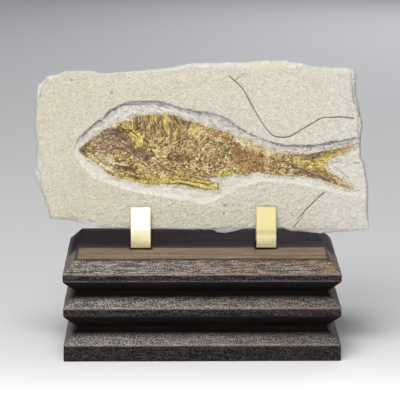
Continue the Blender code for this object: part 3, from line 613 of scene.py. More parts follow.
def trench_share(points):
    """0 on the face, 1 on the floor of the trench and in between on its walls."""
    edge, floor = rounded(TRENCH_EDGE), rounded(TRENCH_FLOOR)
    wander = [grain(points, (2.6, 1.6), seed, 0.3, octaves=4) for seed in (301.0, 311.0)]
    points = points + TRENCH_RAGS * np.stack(wander, axis=1)
    points[:, 1] -= TRENCH_LIFT * above_fish(points)
    to_edge = distance_to(points, edge)
    to_floor = np.where(is_inside(points, floor), 0.0, distance_to(points, floor))
    return np.where(is_inside(points, edge), to_edge / (to_edge + to_floor + 1e-6), 0.0)


def near_spots(points, spots):
    """1 at the middle of each spot (u, v, half width, half height), falling to 0 round it."""
    share = np.zeros(len(points))
    for u, v, half_u, half_v in spots:
        share = np.maximum(share, bell(points, (u, v), (half_u, half_v)))
    return share


def line_share(points, lines, half_width):
    """1 on the lines, falling to 0 at half their width from them."""
    share = np.zeros(len(points))
    for line in lines:
        near = in_box(points, np.asarray(line, float), half_width)
        if near.any():
            share[near] = np.maximum(share[near], 1.0 - distance_to(points[near], line) / half_width)
    return np.clip(share, 0.0, 1.0)


def heading_along(points, line):
    """The heading of the stretch of the line that is nearest to each point."""
    line = np.asarray(line, float)
    middles, run = (line[1:] + line[:-1]) / 2.0, np.diff(line, axis=0)
    nearest = ((points[:, None, :] - middles) ** 2).sum(2).argmin(1)
    return np.arctan2(run[nearest, 1], run[nearest, 0])


def above_fish(points):
    """1 above the backbone, 0 below it."""
    backbone = np.array(BACKBONE)
    return smooth(points[:, 1] - np.interp(points[:, 0], backbone[:, 0], backbone[:, 1]), -3.0, 3.0)


def under_fish(points):
    """Whether each point is hidden by the fish, well inside its rim."""
    return is_inside(points, FISH_OUTLINE) & (distance_to(points, FISH_OUTLINE, closed=True) > 1.0)


def scattered(rng, outline, count):
    """Places by chance inside an outline, out of twice the count over its box."""
    places = rng.uniform(np.min(outline, axis=0), np.max(outline, axis=0), (count * 2, 2))
    return places[is_inside(places, outline)]


def lay_trench_marks():
    """The tone of the trench: painted shade on its upper wall, mottled below that, painted light on its
    lower wall, pale under the fish.
    """
    canvas = Canvas(TRENCH_EDGE, [TRENCH_TONES["lower floor"]])
    rng = np.random.default_rng(31)
    edge = along(rounded(TRENCH_EDGE), 1.0)
    # The dark scratches come last, from many more places than they need.
    for count, half_length, half_width, *spreads in [*TRENCH_MARKS, (DARK_SCRATCHES * 16, *DARK_SCRATCH)]:
        places = scattered(rng, edge, count)
        places = places[~under_fish(places)]
        above, share = above_fish(places), trench_share(places)
        on_floor = smooth(share, 0.6, 1.05)
        # Painted shade on the wall above the fish, deepest along its upper edge, and painted light on the
        # lower wall.
        upper_wall_shade = np.interp(places[:, 0], *np.transpose(UPPER_WALL_SHADE_TONES))
        upper_wall_shade -= UPPER_EDGE_SHADE * smooth(share, 0.8, 0.4) * smooth(upper_wall_shade, 0.25, 0.45)
        upper = upper_wall_shade * (1.0 - on_floor) + TRENCH_TONES["upper floor"] * on_floor
        lower = TRENCH_TONES["lower wall"] * (1.0 - on_floor) + TRENCH_TONES["lower floor"] * on_floor
        tones = lower + (upper - lower) * above
        upper_spread, lower_spread = spreads or (0.0, 0.0)
        tones += (lower_spread + (upper_spread - lower_spread) * above) * rng.normal(0.0, 1.0, len(places))
        turns = heading_along(places, edge) + 0.3 * rng.normal(0.0, 1.0, len(places))
        if not spreads:
            kept = np.flatnonzero((above > 0.5) & (share > 0.2))[:DARK_SCRATCHES]
            places, turns, tones = places[kept], turns[kept], np.full(len(kept), DARK_SCRATCH_TONE)
        sizes = np.exp(rng.normal(-0.1, 0.35, (len(places), 2)))
        for place, turn, size, tone in zip(places, turns, sizes, tones):
            canvas.lay(np.array([tone]), place, turn, half_length * size[0], half_width * size[1])
    return canvas


def front_form(points, rim):
    """The level of the worked side at each point, and the masks that its material uses."""
    level = face_level(points)
    share = trench_share(points)
    sunk = layered(share * FLOOR_DEPTH, points, 31.0) / FLOOR_DEPTH
    sunk = np.clip(np.where(share > 0, sunk, 0.0), 0.0, 1.06) * smooth(share, 0.0, 0.08)
    floor = -FLOOR_DEPTH + FLOOR_RELIEF * grain(points, 2.6, 41.0, 0.4)
    level += (floor - level) * sunk
    rougher = 1.0 + 0.35 * smooth(points[:, 1], 40.0, 20.0)
    level += RELIEF * rougher * grain(points, RELIEF_SIZE, 51.0, RELIEF_TURN) * (1.0 - 0.6 * sunk)
    to_side = distance_to(points, rim, closed=True)
    broken = np.clip(1.0 - to_side / break_width(points), 0.0, 1.0)
    foot = smooth(points[:, 1], 8.0, 4.5)
    level -= layered(EDGE_DROP * broken**1.4 * (1.0 - 0.75 * foot), points, 61.0) * (broken > 0)
    cracks = np.zeros(len(points))
    for line, strength in zip(CRACKS, CRACK_STRENGTHS):
        uneven = strength * (0.85 + 0.35 * waves(points, 5.0, 141.0))
        line = along(rounded(line, 1), CRACK_SPACING)
        cracks = np.maximum(cracks, line_share(points, [line], CRACK_HALF_WIDTH) * uneven)
    scratches = line_share(points, [rounded(line) for line in SCRATCHES], SCRATCH_HALF_WIDTH)
    level -= CRACK_DEPTH * cracks + SCRATCH_DEPTH * scratches
    pits = np.zeros(len(points))
    for u, v, radius in PITS:
        away = np.hypot(points[:, 0] - u, points[:, 1] - v)
        pits = np.maximum(pits, np.clip(1.0 - away / radius, 0.0, 1.0))
    level -= PIT_DEPTH * pits
    flakes = smooth(near_spots(points, FLAKES) + 0.3 * grain(points, 3.4, 131.0), 0.4, 0.5)
    level -= FLAKE_DEPTH * flakes * (1.0 - sunk)
    to_fish = distance_to(points, FISH_OUTLINE, closed=True)
    # Painted light: the broken rim is made much whiter on the top, the left side and the foot.
    lit_rim = np.maximum(smooth(points[:, 1], 66.0, 76.0), 0.75 * smooth(-points[:, 0], 70.0, 77.0))
    lit_rim = np.maximum(lit_rim, foot)
    masks = {
        "trench": smooth(share, 0.02, 0.22),
        "mark": lay_trench_marks().read(points)[:, 0],
        "broken": smooth(broken, 0.0, 0.5) * (0.25 + 0.75 * lit_rim),
        "flake": flakes * (1.0 - sunk),
        # a cool grey tint on the left rim and at the foot: painted shade
        "cool_shade": np.maximum(smooth(-points[:, 0], 62.0, 78.0) * smooth(points[:, 1], 78.0, 60.0), foot),
        "crack": np.maximum(cracks, pits),
        "scratch": scratches,
        "stain": near_spots(points, YELLOW_STAINS),
        "beside_fish": np.clip(1.0 - to_fish / 1.8, 0.0, 1.0),
    }
    return level, masks


def back_level(points):
    """The split back of the slab, never further back than its thickness."""
    rough = 0.35 + 0.3 * waves(points, 13.0, 8.0)
    beyond = is_inside(points, [*BACK_LEDGE_LINE, (-90.0, 90.0), (-90.0, -5.0)])
    ledge = smooth(distance_to(points, BACK_LEDGE_LINE), 0.0, BACK_LEDGE_WIDTH)
    step = BACK_LEDGE * np.where(beyond, ledge, 0.0)
    fine = 0.2 * (1.0 + grain(points, (6.0, 3.2), 71.0, 0.5, octaves=4))
    return np.minimum(rough + step + fine, 3.0) - SLAB_THICKNESS


def slab_front(rim):
    """The triangles of the worked side, finer in the trench, with the cracks and scratches as edges."""
    lines = []
    for crack in CRACKS:
        middle = along(rounded(crack, 1), CRACK_SPACING)
        lines += [middle, *(beside(middle, offset) for offset in CRACK_STEPS)]
    lines += [along(rounded(scratch), 0.6) for scratch in SCRATCHES]
    worked = beside(rounded(TRENCH_EDGE), -1.0)
    coarse, fine = grid_points(rim, FRONT_SPACING), grid_points(worked, TRENCH_SPACING)
    coarse = coarse[under_fish(coarse) | ~is_inside(coarse, worked)]
    fine = fine[is_inside(fine, rim) & ~under_fish(fine)]
    loose = away_from(away_from(np.vstack([coarse, fine]), lines, 0.28), [closed(rim)], 0.35)
    return triangulate(rim, lines, loose)


def slab_rings(rim, level):
    """The rough sides: rings of the rim's own corners at growing depth, which step in and out."""
    into = inward(rim)
    rings = [with_depth(rim, level)]
    for k, share in enumerate(SIDE_LEVELS):
        inset = 0.25 + 0.7 * share + 0.55 * grain(rim, 4.0, 80.0 + 2.7 * k)
        inset += 0.3 * grain(rim, 1.5, 95.0 + k)
        ring = rim + into * np.clip(inset, 0.0, 2.4)[:, None]
        deep = level + (-SLAB_THICKNESS - level) * share + 0.16 * grain(rim, 3.0, 110.0 + k) * (share < 1.0)
        rings.append(with_depth(ring, back_level(ring) if share == 1.0 else deep))
    return rings


def make_slab():
    rim = chipped(SLAB_OUTLINE[::-1], RIM_SPACING, RIM_CHIPS, 3.2, 21.0)
    front, front_faces = slab_front(rim)
    level, masks = front_form(front, rim)
    border = border_of(front_faces)
    rings = slab_rings(front[border], level[border])
    back_rim = rings[-1][:, :2]
    loose = away_from(grid_points(back_rim, BACK_SPACING), [closed(back_rim)], 0.6)
    ledge = along(BACK_LEDGE_LINE, 1.2)
    ledge = ledge[is_inside(ledge, back_rim) & (distance_to(ledge, closed(back_rim)) > 1.0)]
    edges = [ledge, beside(ledge, BACK_LEDGE_WIDTH)]
    back, back_faces = triangulate(back_rim, edges, away_from(loose, edges, 0.5))
    front, back = with_depth(front, level), with_depth(back, back_level(back))
    mesh = close_solid("slab_stone", front, front_faces, rings, back, back_faces, masks)
    return add_piece("slab_stone", mesh, stone_material(), "stone", "stone_slab")


# ---- Fossil fish -------------------------------------------------------------------------------------
def fanned(root, ends):
    return [along([root, end], 1.0)[1:-1] for end in ends]


def ribs():
    """Ribs and spines on both sides of the backbone."""
    lines = []
    feet = along(BACKBONE, VERTEBRA_PITCH / 2)
    run = np.gradient(feet, axis=0)
    for foot, ahead in zip(feet, run / np.linalg.norm(run, axis=1)[:, None]):
        square = np.array([-ahead[1], ahead[0]])
        for side in (1, -1):
            heading = ahead * math.sin(RIB_LEAN) + square * side * math.cos(RIB_LEAN)
            bone = foot + np.arange(1.0, 24.0)[:, None] * heading
            clear = is_inside(bone, FISH_OUTLINE)
            bone = bone[: len(bone) if clear.all() else int(np.argmin(clear))]
            if len(bone) > 2:
                lines.append(bone)
    return lines


def bone_lines():
    u, v, radius = EYE
    turns = np.arange(EYE_CORNERS + 1) * 2.0 * math.pi / EYE_CORNERS
    eye = np.stack([u + radius * np.cos(turns), v + radius * np.sin(turns)], axis=1)
    plates = [along(rounded(plate), 0.8) for plate in HEAD_PLATES]
    fans = fanned(TAIL_ROOT, TAIL_FAN) + fanned(BELLY_FIN_ROOT, BELLY_FIN_FAN)
    return ribs() + fans + plates + [eye]


def patch_share(points, u, v, half_length, half_width, turn):
    """1 in a patch, with a ragged rim."""
    c, s = math.cos(math.radians(turn)), math.sin(math.radians(turn))
    du, dv = points[:, 0] - u, points[:, 1] - v
    reach = np.hypot((du * c + dv * s) / half_length, (dv * c - du * s) / half_width)
    return smooth(reach + 0.45 * grain(points, 2.2, 451.0, octaves=2), 1.5, 0.5)


def flow_at(points):
    """The direction in which the flecks run at each point, and how far they stray from it."""
    double = np.zeros((len(points), 2))
    loose, total = np.zeros((2, len(points)))
    for u, v, reach, turn, stray in FLOWS:
        share = bell(points, (u, v), reach) + 1e-6
        angle = 2.0 * math.radians(turn)
        double += share[:, None] * (math.cos(angle), math.sin(angle))
        loose += share * math.radians(stray)
        total += share
    return np.arctan2(double[:, 1], double[:, 0]) / 2.0, loose / total


def pick_kinds(points, tone, rng):
    """Each fleck's kind and tone, by chance and by the patches it lies in."""
    kinds = list(FLECK_SHARES)
    shares = np.tile([FLECK_SHARES[kind] for kind in kinds], (len(points), 1))
    for k in range(len(kinds)):
        cloud = grain(points, KIND_CLOUD, 200.0 + 10.0 * k, octaves=2)
        shares[:, k] *= np.clip(1.0 + 1.7 * cloud, 0.15, None)
    for kind, level, strength, *place in PATCHES:
        share = strength * patch_share(points, *place)
        shares[:, kinds.index(kind)] += 2.6 * share
        weight = np.clip(share, 0.0, 0.85)
        tone = tone + (level + 0.6 * (tone - 0.5) - tone) * weight
    shares = np.clip(shares, 0.0, None)
    picks = (rng.random(len(points))[:, None] < np.cumsum(shares, 1) / shares.sum(1)[:, None]).argmax(1)
    return [kinds[i] for i in picks], np.clip(tone, 0.0, 1.0)


class Canvas:
    """A sheet of small cells over an outline, on which flecks are laid one over another."""

    def __init__(self, outline, values):
        self.corner = np.min(outline, axis=0) - 1.0
        size = np.ceil((np.max(outline, axis=0) + 1.0 - self.corner) / CELL).astype(int)
        self.cells = np.tile(np.array(values, float), (size[1], size[0], 1))

    def around(self, place, turn, half_length, half_width):
        """The cells round a place, and how far out of an ellipse there each one lies, with 1 on its rim."""
        low = np.maximum(((place - half_length - self.corner) / CELL).astype(int), 0)
        high = ((place + half_length - self.corner) / CELL).astype(int) + 2
        part = self.cells[low[1] : high[1], low[0] : high[0]]
        dv = (low[1] + np.arange(part.shape[0]))[:, None] * CELL + self.corner[1] - place[1]
        du = (low[0] + np.arange(part.shape[1]))[None, :] * CELL + self.corner[0] - place[0]
        c, s = math.cos(turn), math.sin(turn)
        return part, ((du * c + dv * s) / half_length) ** 2 + ((dv * c - du * s) / half_width) ** 2

    def shade(self, share, *fleck):
        """Darkens what lies under a fleck and a little beside it."""
        part, reach = self.around(*fleck)
        part[..., 0] *= 1.0 - share * np.clip(2.0 * (1.0 - reach), 0.0, 1.0)

    def lay(self, values, *fleck):
        part, reach = self.around(*fleck)
        part += (values - part) * np.clip(2.2 * (1.0 - reach), 0.0, 1.0)[..., None]

    def read(self, points):
        """Every channel at each point, from the four cells round it."""
        place = (points - self.corner) / CELL
        cell = np.clip(np.floor(place).astype(int), 0, np.array(self.cells.shape[1::-1]) - 2)
        share = np.clip(place - cell, 0.0, 1.0)[..., None]
        u, v = cell.T
        low = self.cells[v, u] * (1 - share[:, 0]) + self.cells[v, u + 1] * share[:, 0]
        high = self.cells[v + 1, u] * (1 - share[:, 0]) + self.cells[v + 1, u + 1] * share[:, 0]
        return low * (1 - share[:, 1]) + high * share[:, 1]


def fleck_values(kind, tone, rise):
    return np.array([tone, *(float(kind == name) for name in CHANNELS[1:5]), rise])


def lay_flecks():
    canvas = Canvas(FISH_OUTLINE, fleck_values("brown", 0.3, 0.0))
    rng = np.random.default_rng(12)
    for count, half_length, half_width, tone, spread, rise in FLECK_LAYERS:
        places = scattered(rng, FISH_OUTLINE, count)[:count]
        turns, loose = flow_at(places)
        kept = (loose > COMBED) | (half_length > CRUMB) | (rng.random(len(places)) < 0.3)
        places, turns, loose = places[kept], turns[kept], loose[kept]
        turns = turns + loose * rng.normal(0.0, 1.0, len(places))
        tones = tone + spread * rng.normal(0.0, 1.0, len(places))
        tones += sum(share * grain(places, size, seed) for size, share, seed in CLOUDS)
        kinds, tones = pick_kinds(places, tones, rng)
        sizes = np.exp(rng.normal(-0.1, 0.42, (len(places), 2)))
        sizes[:, 0] *= np.interp(loose, (0.2, 0.65), (1.15, 0.62))
        rises = rise * rng.uniform(0.3, 1.0, len(places)) * (0.45 + 0.9 * tones)
        for place, turn, size, kind, level, high_by in zip(places, turns, sizes, kinds, tones, rises):
            halves = size * (half_length, half_width)
            canvas.shade(SHADOW_SHARE, place - (0.0, 0.1), turn, *(halves + FLECK_SHADOW))
            canvas.lay(fleck_values(kind, level, high_by), place, turn, *halves)
    for kind, level, half_width, points in STROKES:
        line = along(rounded(points), 0.5)
        run = np.gradient(line, axis=0)
        for place, turn in zip(line, np.arctan2(run[:, 1], run[:, 0])):
            wide_by = half_width * rng.uniform(0.6, 1.2)
            place = place + rng.normal(0.0, 0.12, 2)
            values = fleck_values(kind, level + rng.normal(0.0, 0.08), 0.5 * level)
            canvas.lay(values, place, turn, 0.7, wide_by)
    return canvas


def fish_form(points, rim):
    """The level of the fish's upper side at each point, and the masks that its material uses."""
    masks = dict(zip(CHANNELS, lay_flecks().read(points).T))
    to_rim = distance_to(points, rim, closed=True)
    body = 1.0 - smooth(points[:, 0], 46.0, 60.0)
    swell = FISH_SWELL * body * np.sqrt(smooth(to_rim, 0.0, FISH_SHOULDER))
    bones = line_share(points, bone_lines(), BONE_HALF_WIDTH)
    beads = 0.75 + 0.25 * np.cos(2.0 * math.pi * points[:, 0] / VERTEBRA_PITCH)
    backbone = beads * line_share(points, [BACKBONE], BACKBONE_HALF_WIDTH)
    settled = smooth(to_rim, 0.0, 1.4)
    level = FISH_EDGE - FLOOR_DEPTH + swell + BONE_RISE * bones * settled + BACKBONE_RISE * backbone
    level += FLECK_RISE * (masks.pop("rise") - 0.3) * settled
    level += 0.05 * grain(points, 0.9, 5.0) - 0.25 * (1.0 - smooth(to_rim, 0.0, 0.5))
    masks["bone"] = np.maximum(bones, backbone) * settled
    masks["rim"] = np.clip(1.0 - to_rim / 1.2, 0.0, 1.0)
    return level, masks


def make_fish():
    rim = chipped(FISH_OUTLINE[::-1], FISH_RIM_SPACING, FISH_RIM_RAGS, 1.2, 25.0)
    loose = away_from(grid_points(rim, SKIN_SPACING), [closed(rim)], 0.15)
    front, front_faces = triangulate(rim, [], loose)
    level, masks = fish_form(front, rim)
    border = border_of(front_faces)
    underside = -FLOOR_DEPTH - FISH_SUNK
    rings = [with_depth(front[border], level[border]), with_depth(front[border], underside)]
    back, back_faces = triangulate(front[border], [], np.empty((0, 2)))
    front, back = with_depth(front, level), with_depth(back, underside)
    mesh = close_solid("fish_bones", front, front_faces, rings, back, back_faces, masks)
    return add_piece("fish_bones", mesh, bone_material(), "bone", "fossil_fish")


# ---- Wooden base -------------------------------------------------------------------------------------
def worn_corners(profile, reach):
    """The moulding with a small round in place of every corner."""
    profile = np.asarray(profile, float)
    points = [profile[0]]
    for before, corner, after in zip(profile, profile[1:], profile[2:]):
        ways = [other - corner for other in (before, after)]
        cut = [corner + way * min(reach / np.linalg.norm(way), 0.4) for way in ways]
        points += [cut[0], corner * 0.5 + (cut[0] + cut[1]) * 0.25, cut[1]]
    return np.array([*points, profile[-1]])


def base_ring():
    """Places round the base: (which corner or how far between two, way out) for each."""
    fronts = np.linspace(-1.0, 1.0, round(BASE_WIDTH / LENGTH_SPACING))
    ends = np.linspace(-1.0, 1.0, round(BASE_DEPTH / END_SPACING))
    arc = np.linspace(0.0, math.pi / 2, CORNER_STEPS + 2)[1:-1]
    at, out = [], []
    for k in range(4):
        c, s = round(math.cos(k * math.pi / 2)), round(math.sin(k * math.pi / 2))
        shares = fronts if k % 2 == 0 else ends
        # One side of the rectangle, seen with its outside at the bottom, and the round that follows it.
        side = [((share, -1.0), (0.0, -1.0)) for share in shares]
        side += [((1.0, -1.0), (math.sin(angle), -math.cos(angle))) for angle in arc]
        for (x, y), (a, b) in side:
            at.append((x * c - y * s, x * s + y * c))
            out.append((a * c - b * s, a * s + b * c))
    return np.array(at), np.array(out)


def wood_sink(points):
    """How far the worn surface lies inside the moulding: open grain, long dips and small knocks."""
    along_grain = points / (GRAIN_LENGTH, GRAIN_WIDTH, GRAIN_WIDTH)
    fine = np.array([noise.fractal(Vector(p), 0.8, 2.1, 3) for p in along_grain.tolist()])
    dips, knocks = (
        np.array([noise.noise(Vector(p)) for p in places.tolist()])
        for places in (points / (26.0, 9.0, 9.0) + 5.0, points / 3.4 + 11.0)
    )
    sink = WOOD_RELIEF * (1.0 + fine) + WOOD_DIPS * (1.0 + dips) + WOOD_KNOCKS * smooth(knocks, 0.45, 0.8)
    return np.clip(sink, 0.0, 1.0)


def make_base():
    profile = along(worn_corners(BASE_PROFILE, BASE_WORN), PROFILE_SPACING)
    step = np.gradient(profile, axis=0)
    facing = step[:, ::-1] / np.linalg.norm(step, axis=1)[:, None]  # (outwards, upwards)
    at, out = base_ring()
    count = len(at)
    half = np.array([BASE_WIDTH, BASE_DEPTH]) / 2.0
    rings = []
    for (inset, height), (outwards, upwards) in zip(profile, facing):
        flat = at * (half - inset - CORNER_ROUND) + out * CORNER_ROUND
        ring = with_depth(flat, height)
        sink = wood_sink(ring)[:, None]
        rings.append(ring - sink * np.column_stack([out * outwards, np.full(count, max(upwards, 0.0))]))
    turn = np.roll(np.arange(count), -1)
    faces = []
    for k in range(len(rings) - 1):
        lower, upper = k * count + np.arange(count), (k + 1) * count + np.arange(count)
        faces += [np.stack([lower, lower[turn], upper[turn]], 1), np.stack([lower, upper[turn], upper], 1)]
    faces.append(np.stack([np.full(count - 2, 0), np.arange(2, count), np.arange(1, count - 1)], 1))
    rim = rings[-1][:, :2]
    loose = away_from(grid_points(rim, TOP_SPACING), [closed(rim)], 0.5)
    top, top_faces = triangulate(rim, [], loose)
    level = np.full(len(top), BASE_PROFILE[-1][1])
    level -= wood_sink(with_depth(top, level))
    # The rim of the top is the last ring's own corners.
    border = border_of(top_faces)
    nearest = [int(np.argmin(((rim - p) ** 2).sum(1))) for p in top[border]]
    index = len(rings) * count + np.arange(len(top))
    index[border] = (len(rings) - 1) * count + np.array(nearest)
    faces.append(index[top_faces])
    points = np.vstack([*rings, with_depth(top, level)])
    used, faces = np.unique(np.vstack(faces), return_inverse=True)
    masks = {name: values[used] for name, values in base_masks(profile, facing, count, len(top)).items()}
    mesh = make_mesh("base_wood", points[used], faces.reshape(-1, 3), masks)
    return add_piece("base_wood", mesh, wood_material(), "wood", "wooden_base")


def base_masks(profile, facing, count, top_count):
    """The masks of the wood: one level for each ring of the moulding, and then the top."""
    inset, height = profile.T
    edges = np.array([corner for corner in BASE_PROFILE[1:-1] if corner[0] == 0.0])
    seams = np.array([BASE_PROFILE[2], BASE_PROFILE[6]])
    to_edge, to_seam = (
        np.linalg.norm(profile[:, None, :] - corners, axis=2).min(axis=1) for corners in (edges, seams)
    )
    under_top = height < BASE_PROFILE[-2][1]
    levels = {
        "upward": (smooth(facing[:, 1], 0.15, 0.5), 1.0),
        "top": (np.zeros(len(profile)), 1.0),
        "edge": (np.clip(1.0 - to_edge / 0.8, 0.0, 1.0) * (facing[:, 1] > -0.2), 0.0),
        "seam": (smooth(to_seam, 1.9, 0.7), 0.0),
        # painted shade in the recessed necks and on the faces that look down
        "groove_shade": (smooth(inset, 2.6, 5.4) * under_top + smooth(-facing[:, 1], 0.2, 0.6) * 0.85, 0.0),
    }
    return {
        name: np.concatenate([np.repeat(np.clip(ring, 0.0, 1.0), count), np.full(top_count, top)])
        for name, (ring, top) in levels.items()
    }


# ---- Shader nodes ------------------------------------------------------------------------------------
def linear(colour):
    """The linear colour of a screen colour (red, green, blue) in 0 to 255. Others are left as they are."""
    if not isinstance(colour, tuple) or len(colour) == 4:
        return colour
    parts = [c / 255.0 for c in colour]
    return (*(c / 12.92 if c <= 0.04045 else ((c + 0.055) / 1.055) ** 2.4 for c in parts), 1.0)


class Finish:
    """A material and short ways to add nodes to it."""

    def __init__(self, name):
        self.material = bpy.data.materials.new(name)
        self.material.use_nodes = True
        self.tree = self.material.node_tree
        self.shader = self.tree.nodes["Principled BSDF"]

    def add(self, kind, inputs=None, **settings):
        made = self.tree.nodes.new("ShaderNode" + kind)
        for key, value in settings.items():
            setattr(made, key, value)
        for key, value in (inputs or {}).items():
            self.put(made.inputs[key], value)
        return made

    def put(self, socket, value):
        if isinstance(value, bpy.types.NodeSocket):
            self.tree.links.new(value, socket)
        else:
            socket.default_value = value

    def mask(self, name):
        return self.add("Attribute", attribute_name=name).outputs["Fac"]

    def place(self):
        """The corner's own place on the slab, in millimetres."""
        return self.add("Attribute", attribute_name="place").outputs["Vector"]

    def object_place(self):
        """The place on the object, in millimetres."""
        return self.mapped(self.add("TexCoord").outputs["Object"], (1.0 / MM, 1.0 / MM, 1.0 / MM))

    def parts(self, vector):
        return self.add("SeparateXYZ", {"Vector": vector}).outputs

    def mapped(self, vector, scale, turn=0.0):
        """Coordinates turned by degrees in their first plane, and then scaled along each axis."""
        inputs = {"Vector": vector, "Rotation": (0.0, 0.0, math.radians(turn))}
        turned = self.add("VectorRotate", inputs, rotation_type="EULER_XYZ").outputs["Vector"]
        return self.add("VectorMath", {0: turned, 1: scale}, operation="MULTIPLY").outputs["Vector"]

    def noise(self, vector, scale=1.0, detail=3.0, roughness=0.55, distortion=0.0):
        inputs = {"Vector": vector, "Scale": scale, "Detail": detail}
        inputs |= {"Roughness": roughness, "Distortion": distortion}
        return self.add("TexNoise", inputs).outputs["Fac"]

    def drawn(self, vector, scale, turn=0.0, **kind):
        """Noise that is drawn out or squeezed along each axis of the turned coordinates."""
        return self.noise(self.mapped(vector, scale, turn), **kind)

    def ramp(self, factor, stops):
        made = self.add("ValToRGB", {"Fac": factor})
        points = made.color_ramp.elements
        while len(points) < len(stops):
            points.new(0.5)
        for point, (place, colour) in zip(points, stops):
            point.position = place
            point.color = linear(colour)
        return made.outputs["Color"]

    def mix(self, factor, first, second, blend="MIX"):
        made = self.add("Mix", data_type="RGBA", blend_type=blend)
        for k, value in ((0, factor), (6, linear(first)), (7, linear(second))):
            self.put(made.inputs[k], value)
        return made.outputs[2]

    def math(self, operation, first, second=0.0):
        return self.add("Math", {0: first, 1: second}, operation=operation).outputs["Value"]

    def plus(self, first, second):
        return self.math("ADD", first, second)

    def times(self, first, second):
        return self.math("MULTIPLY", first, second)

    def off(self, value, middle):
        """How far a value is from the middle, to either side."""
        return self.math("ABSOLUTE", self.math("SUBTRACT", value, middle))

    def spread(self, value, low, high, to_low=0.0, to_high=1.0):
        inputs = {"Value": value, "From Min": low, "From Max": high, "To Min": to_low, "To Max": to_high}
        return self.add("MapRange", inputs).outputs["Result"]

    def bump(self, height, distance, strength=1.0, normal=None):
        """A bump of some millimetres, over another normal if there is one."""
        inputs = {"Height": height, "Distance": distance * MM, "Strength": strength}
        if normal is not None:
            inputs["Normal"] = normal
        return self.add("Bump", inputs).outputs["Normal"]

    def finish(self, **inputs):
        for key, value in inputs.items():
            self.put(self.shader.inputs[key.replace("_", " ")], value)
        return self.material


# ---- Materials ---------------------------------------------------------------------------------------
SPLIT_STONE = [(0.25, (188, 185, 172)), (0.48, (220, 217, 207)), (0.72, (244, 242, 234))]
SIDE_LAYERS = [(0.35, (182, 176, 158)), (0.5, (214, 209, 194)), (0.62, (230, 226, 214))]
BACK_TINT = [(0.3, (224, 215, 196)), (0.7, (250, 246, 236))]
MINERAL_STOPS = (0.0, 0.35, 0.65, 1.0)
MINERALS = {
    "brown": [(58, 40, 18), (127, 104, 66), (182, 159, 114), (230, 216, 176)],
    "yellow": [(88, 72, 24), (154, 135, 62), (204, 187, 94), (236, 224, 148)],
    "orange": [(84, 56, 28), (153, 118, 76), (200, 167, 112), (232, 209, 160)],
    "purple": [(70, 52, 42), (128, 105, 84), (178, 155, 127), (218, 202, 176)],
    "pale": [(100, 88, 56), (166, 153, 112), (208, 199, 158), (236, 229, 198)],
}
DARK_WOOD = [(0.36, (12, 11, 12)), (0.5, (31, 28, 29)), (0.62, (80, 75, 75))]
WORN_AND_SHEEN_WOOD = [(0.39, (37, 34, 35)), (0.49, (92, 87, 84)), (0.59, (177, 170, 166))]
GOLDEN_WOOD = [(0.38, (49, 35, 26)), (0.49, (110, 86, 64)), (0.6, (186, 153, 114))]
TOP_WOOD = [(0.38, (84, 68, 54)), (0.5, (126, 108, 90)), (0.62, (170, 142, 112))]
SLAB_SHADOW_WOOD = [(0.35, (50, 37, 43)), (0.65, (74, 56, 64))]
GROOVE_SHADE_WOOD = [(0.35, (5, 4, 4)), (0.58, (11, 8, 7)), (0.72, (62, 36, 18))]
BRASS = [(0.3, (0.96, 0.88, 0.5, 1.0)), (0.7, (1.0, 0.95, 0.6, 1.0))]


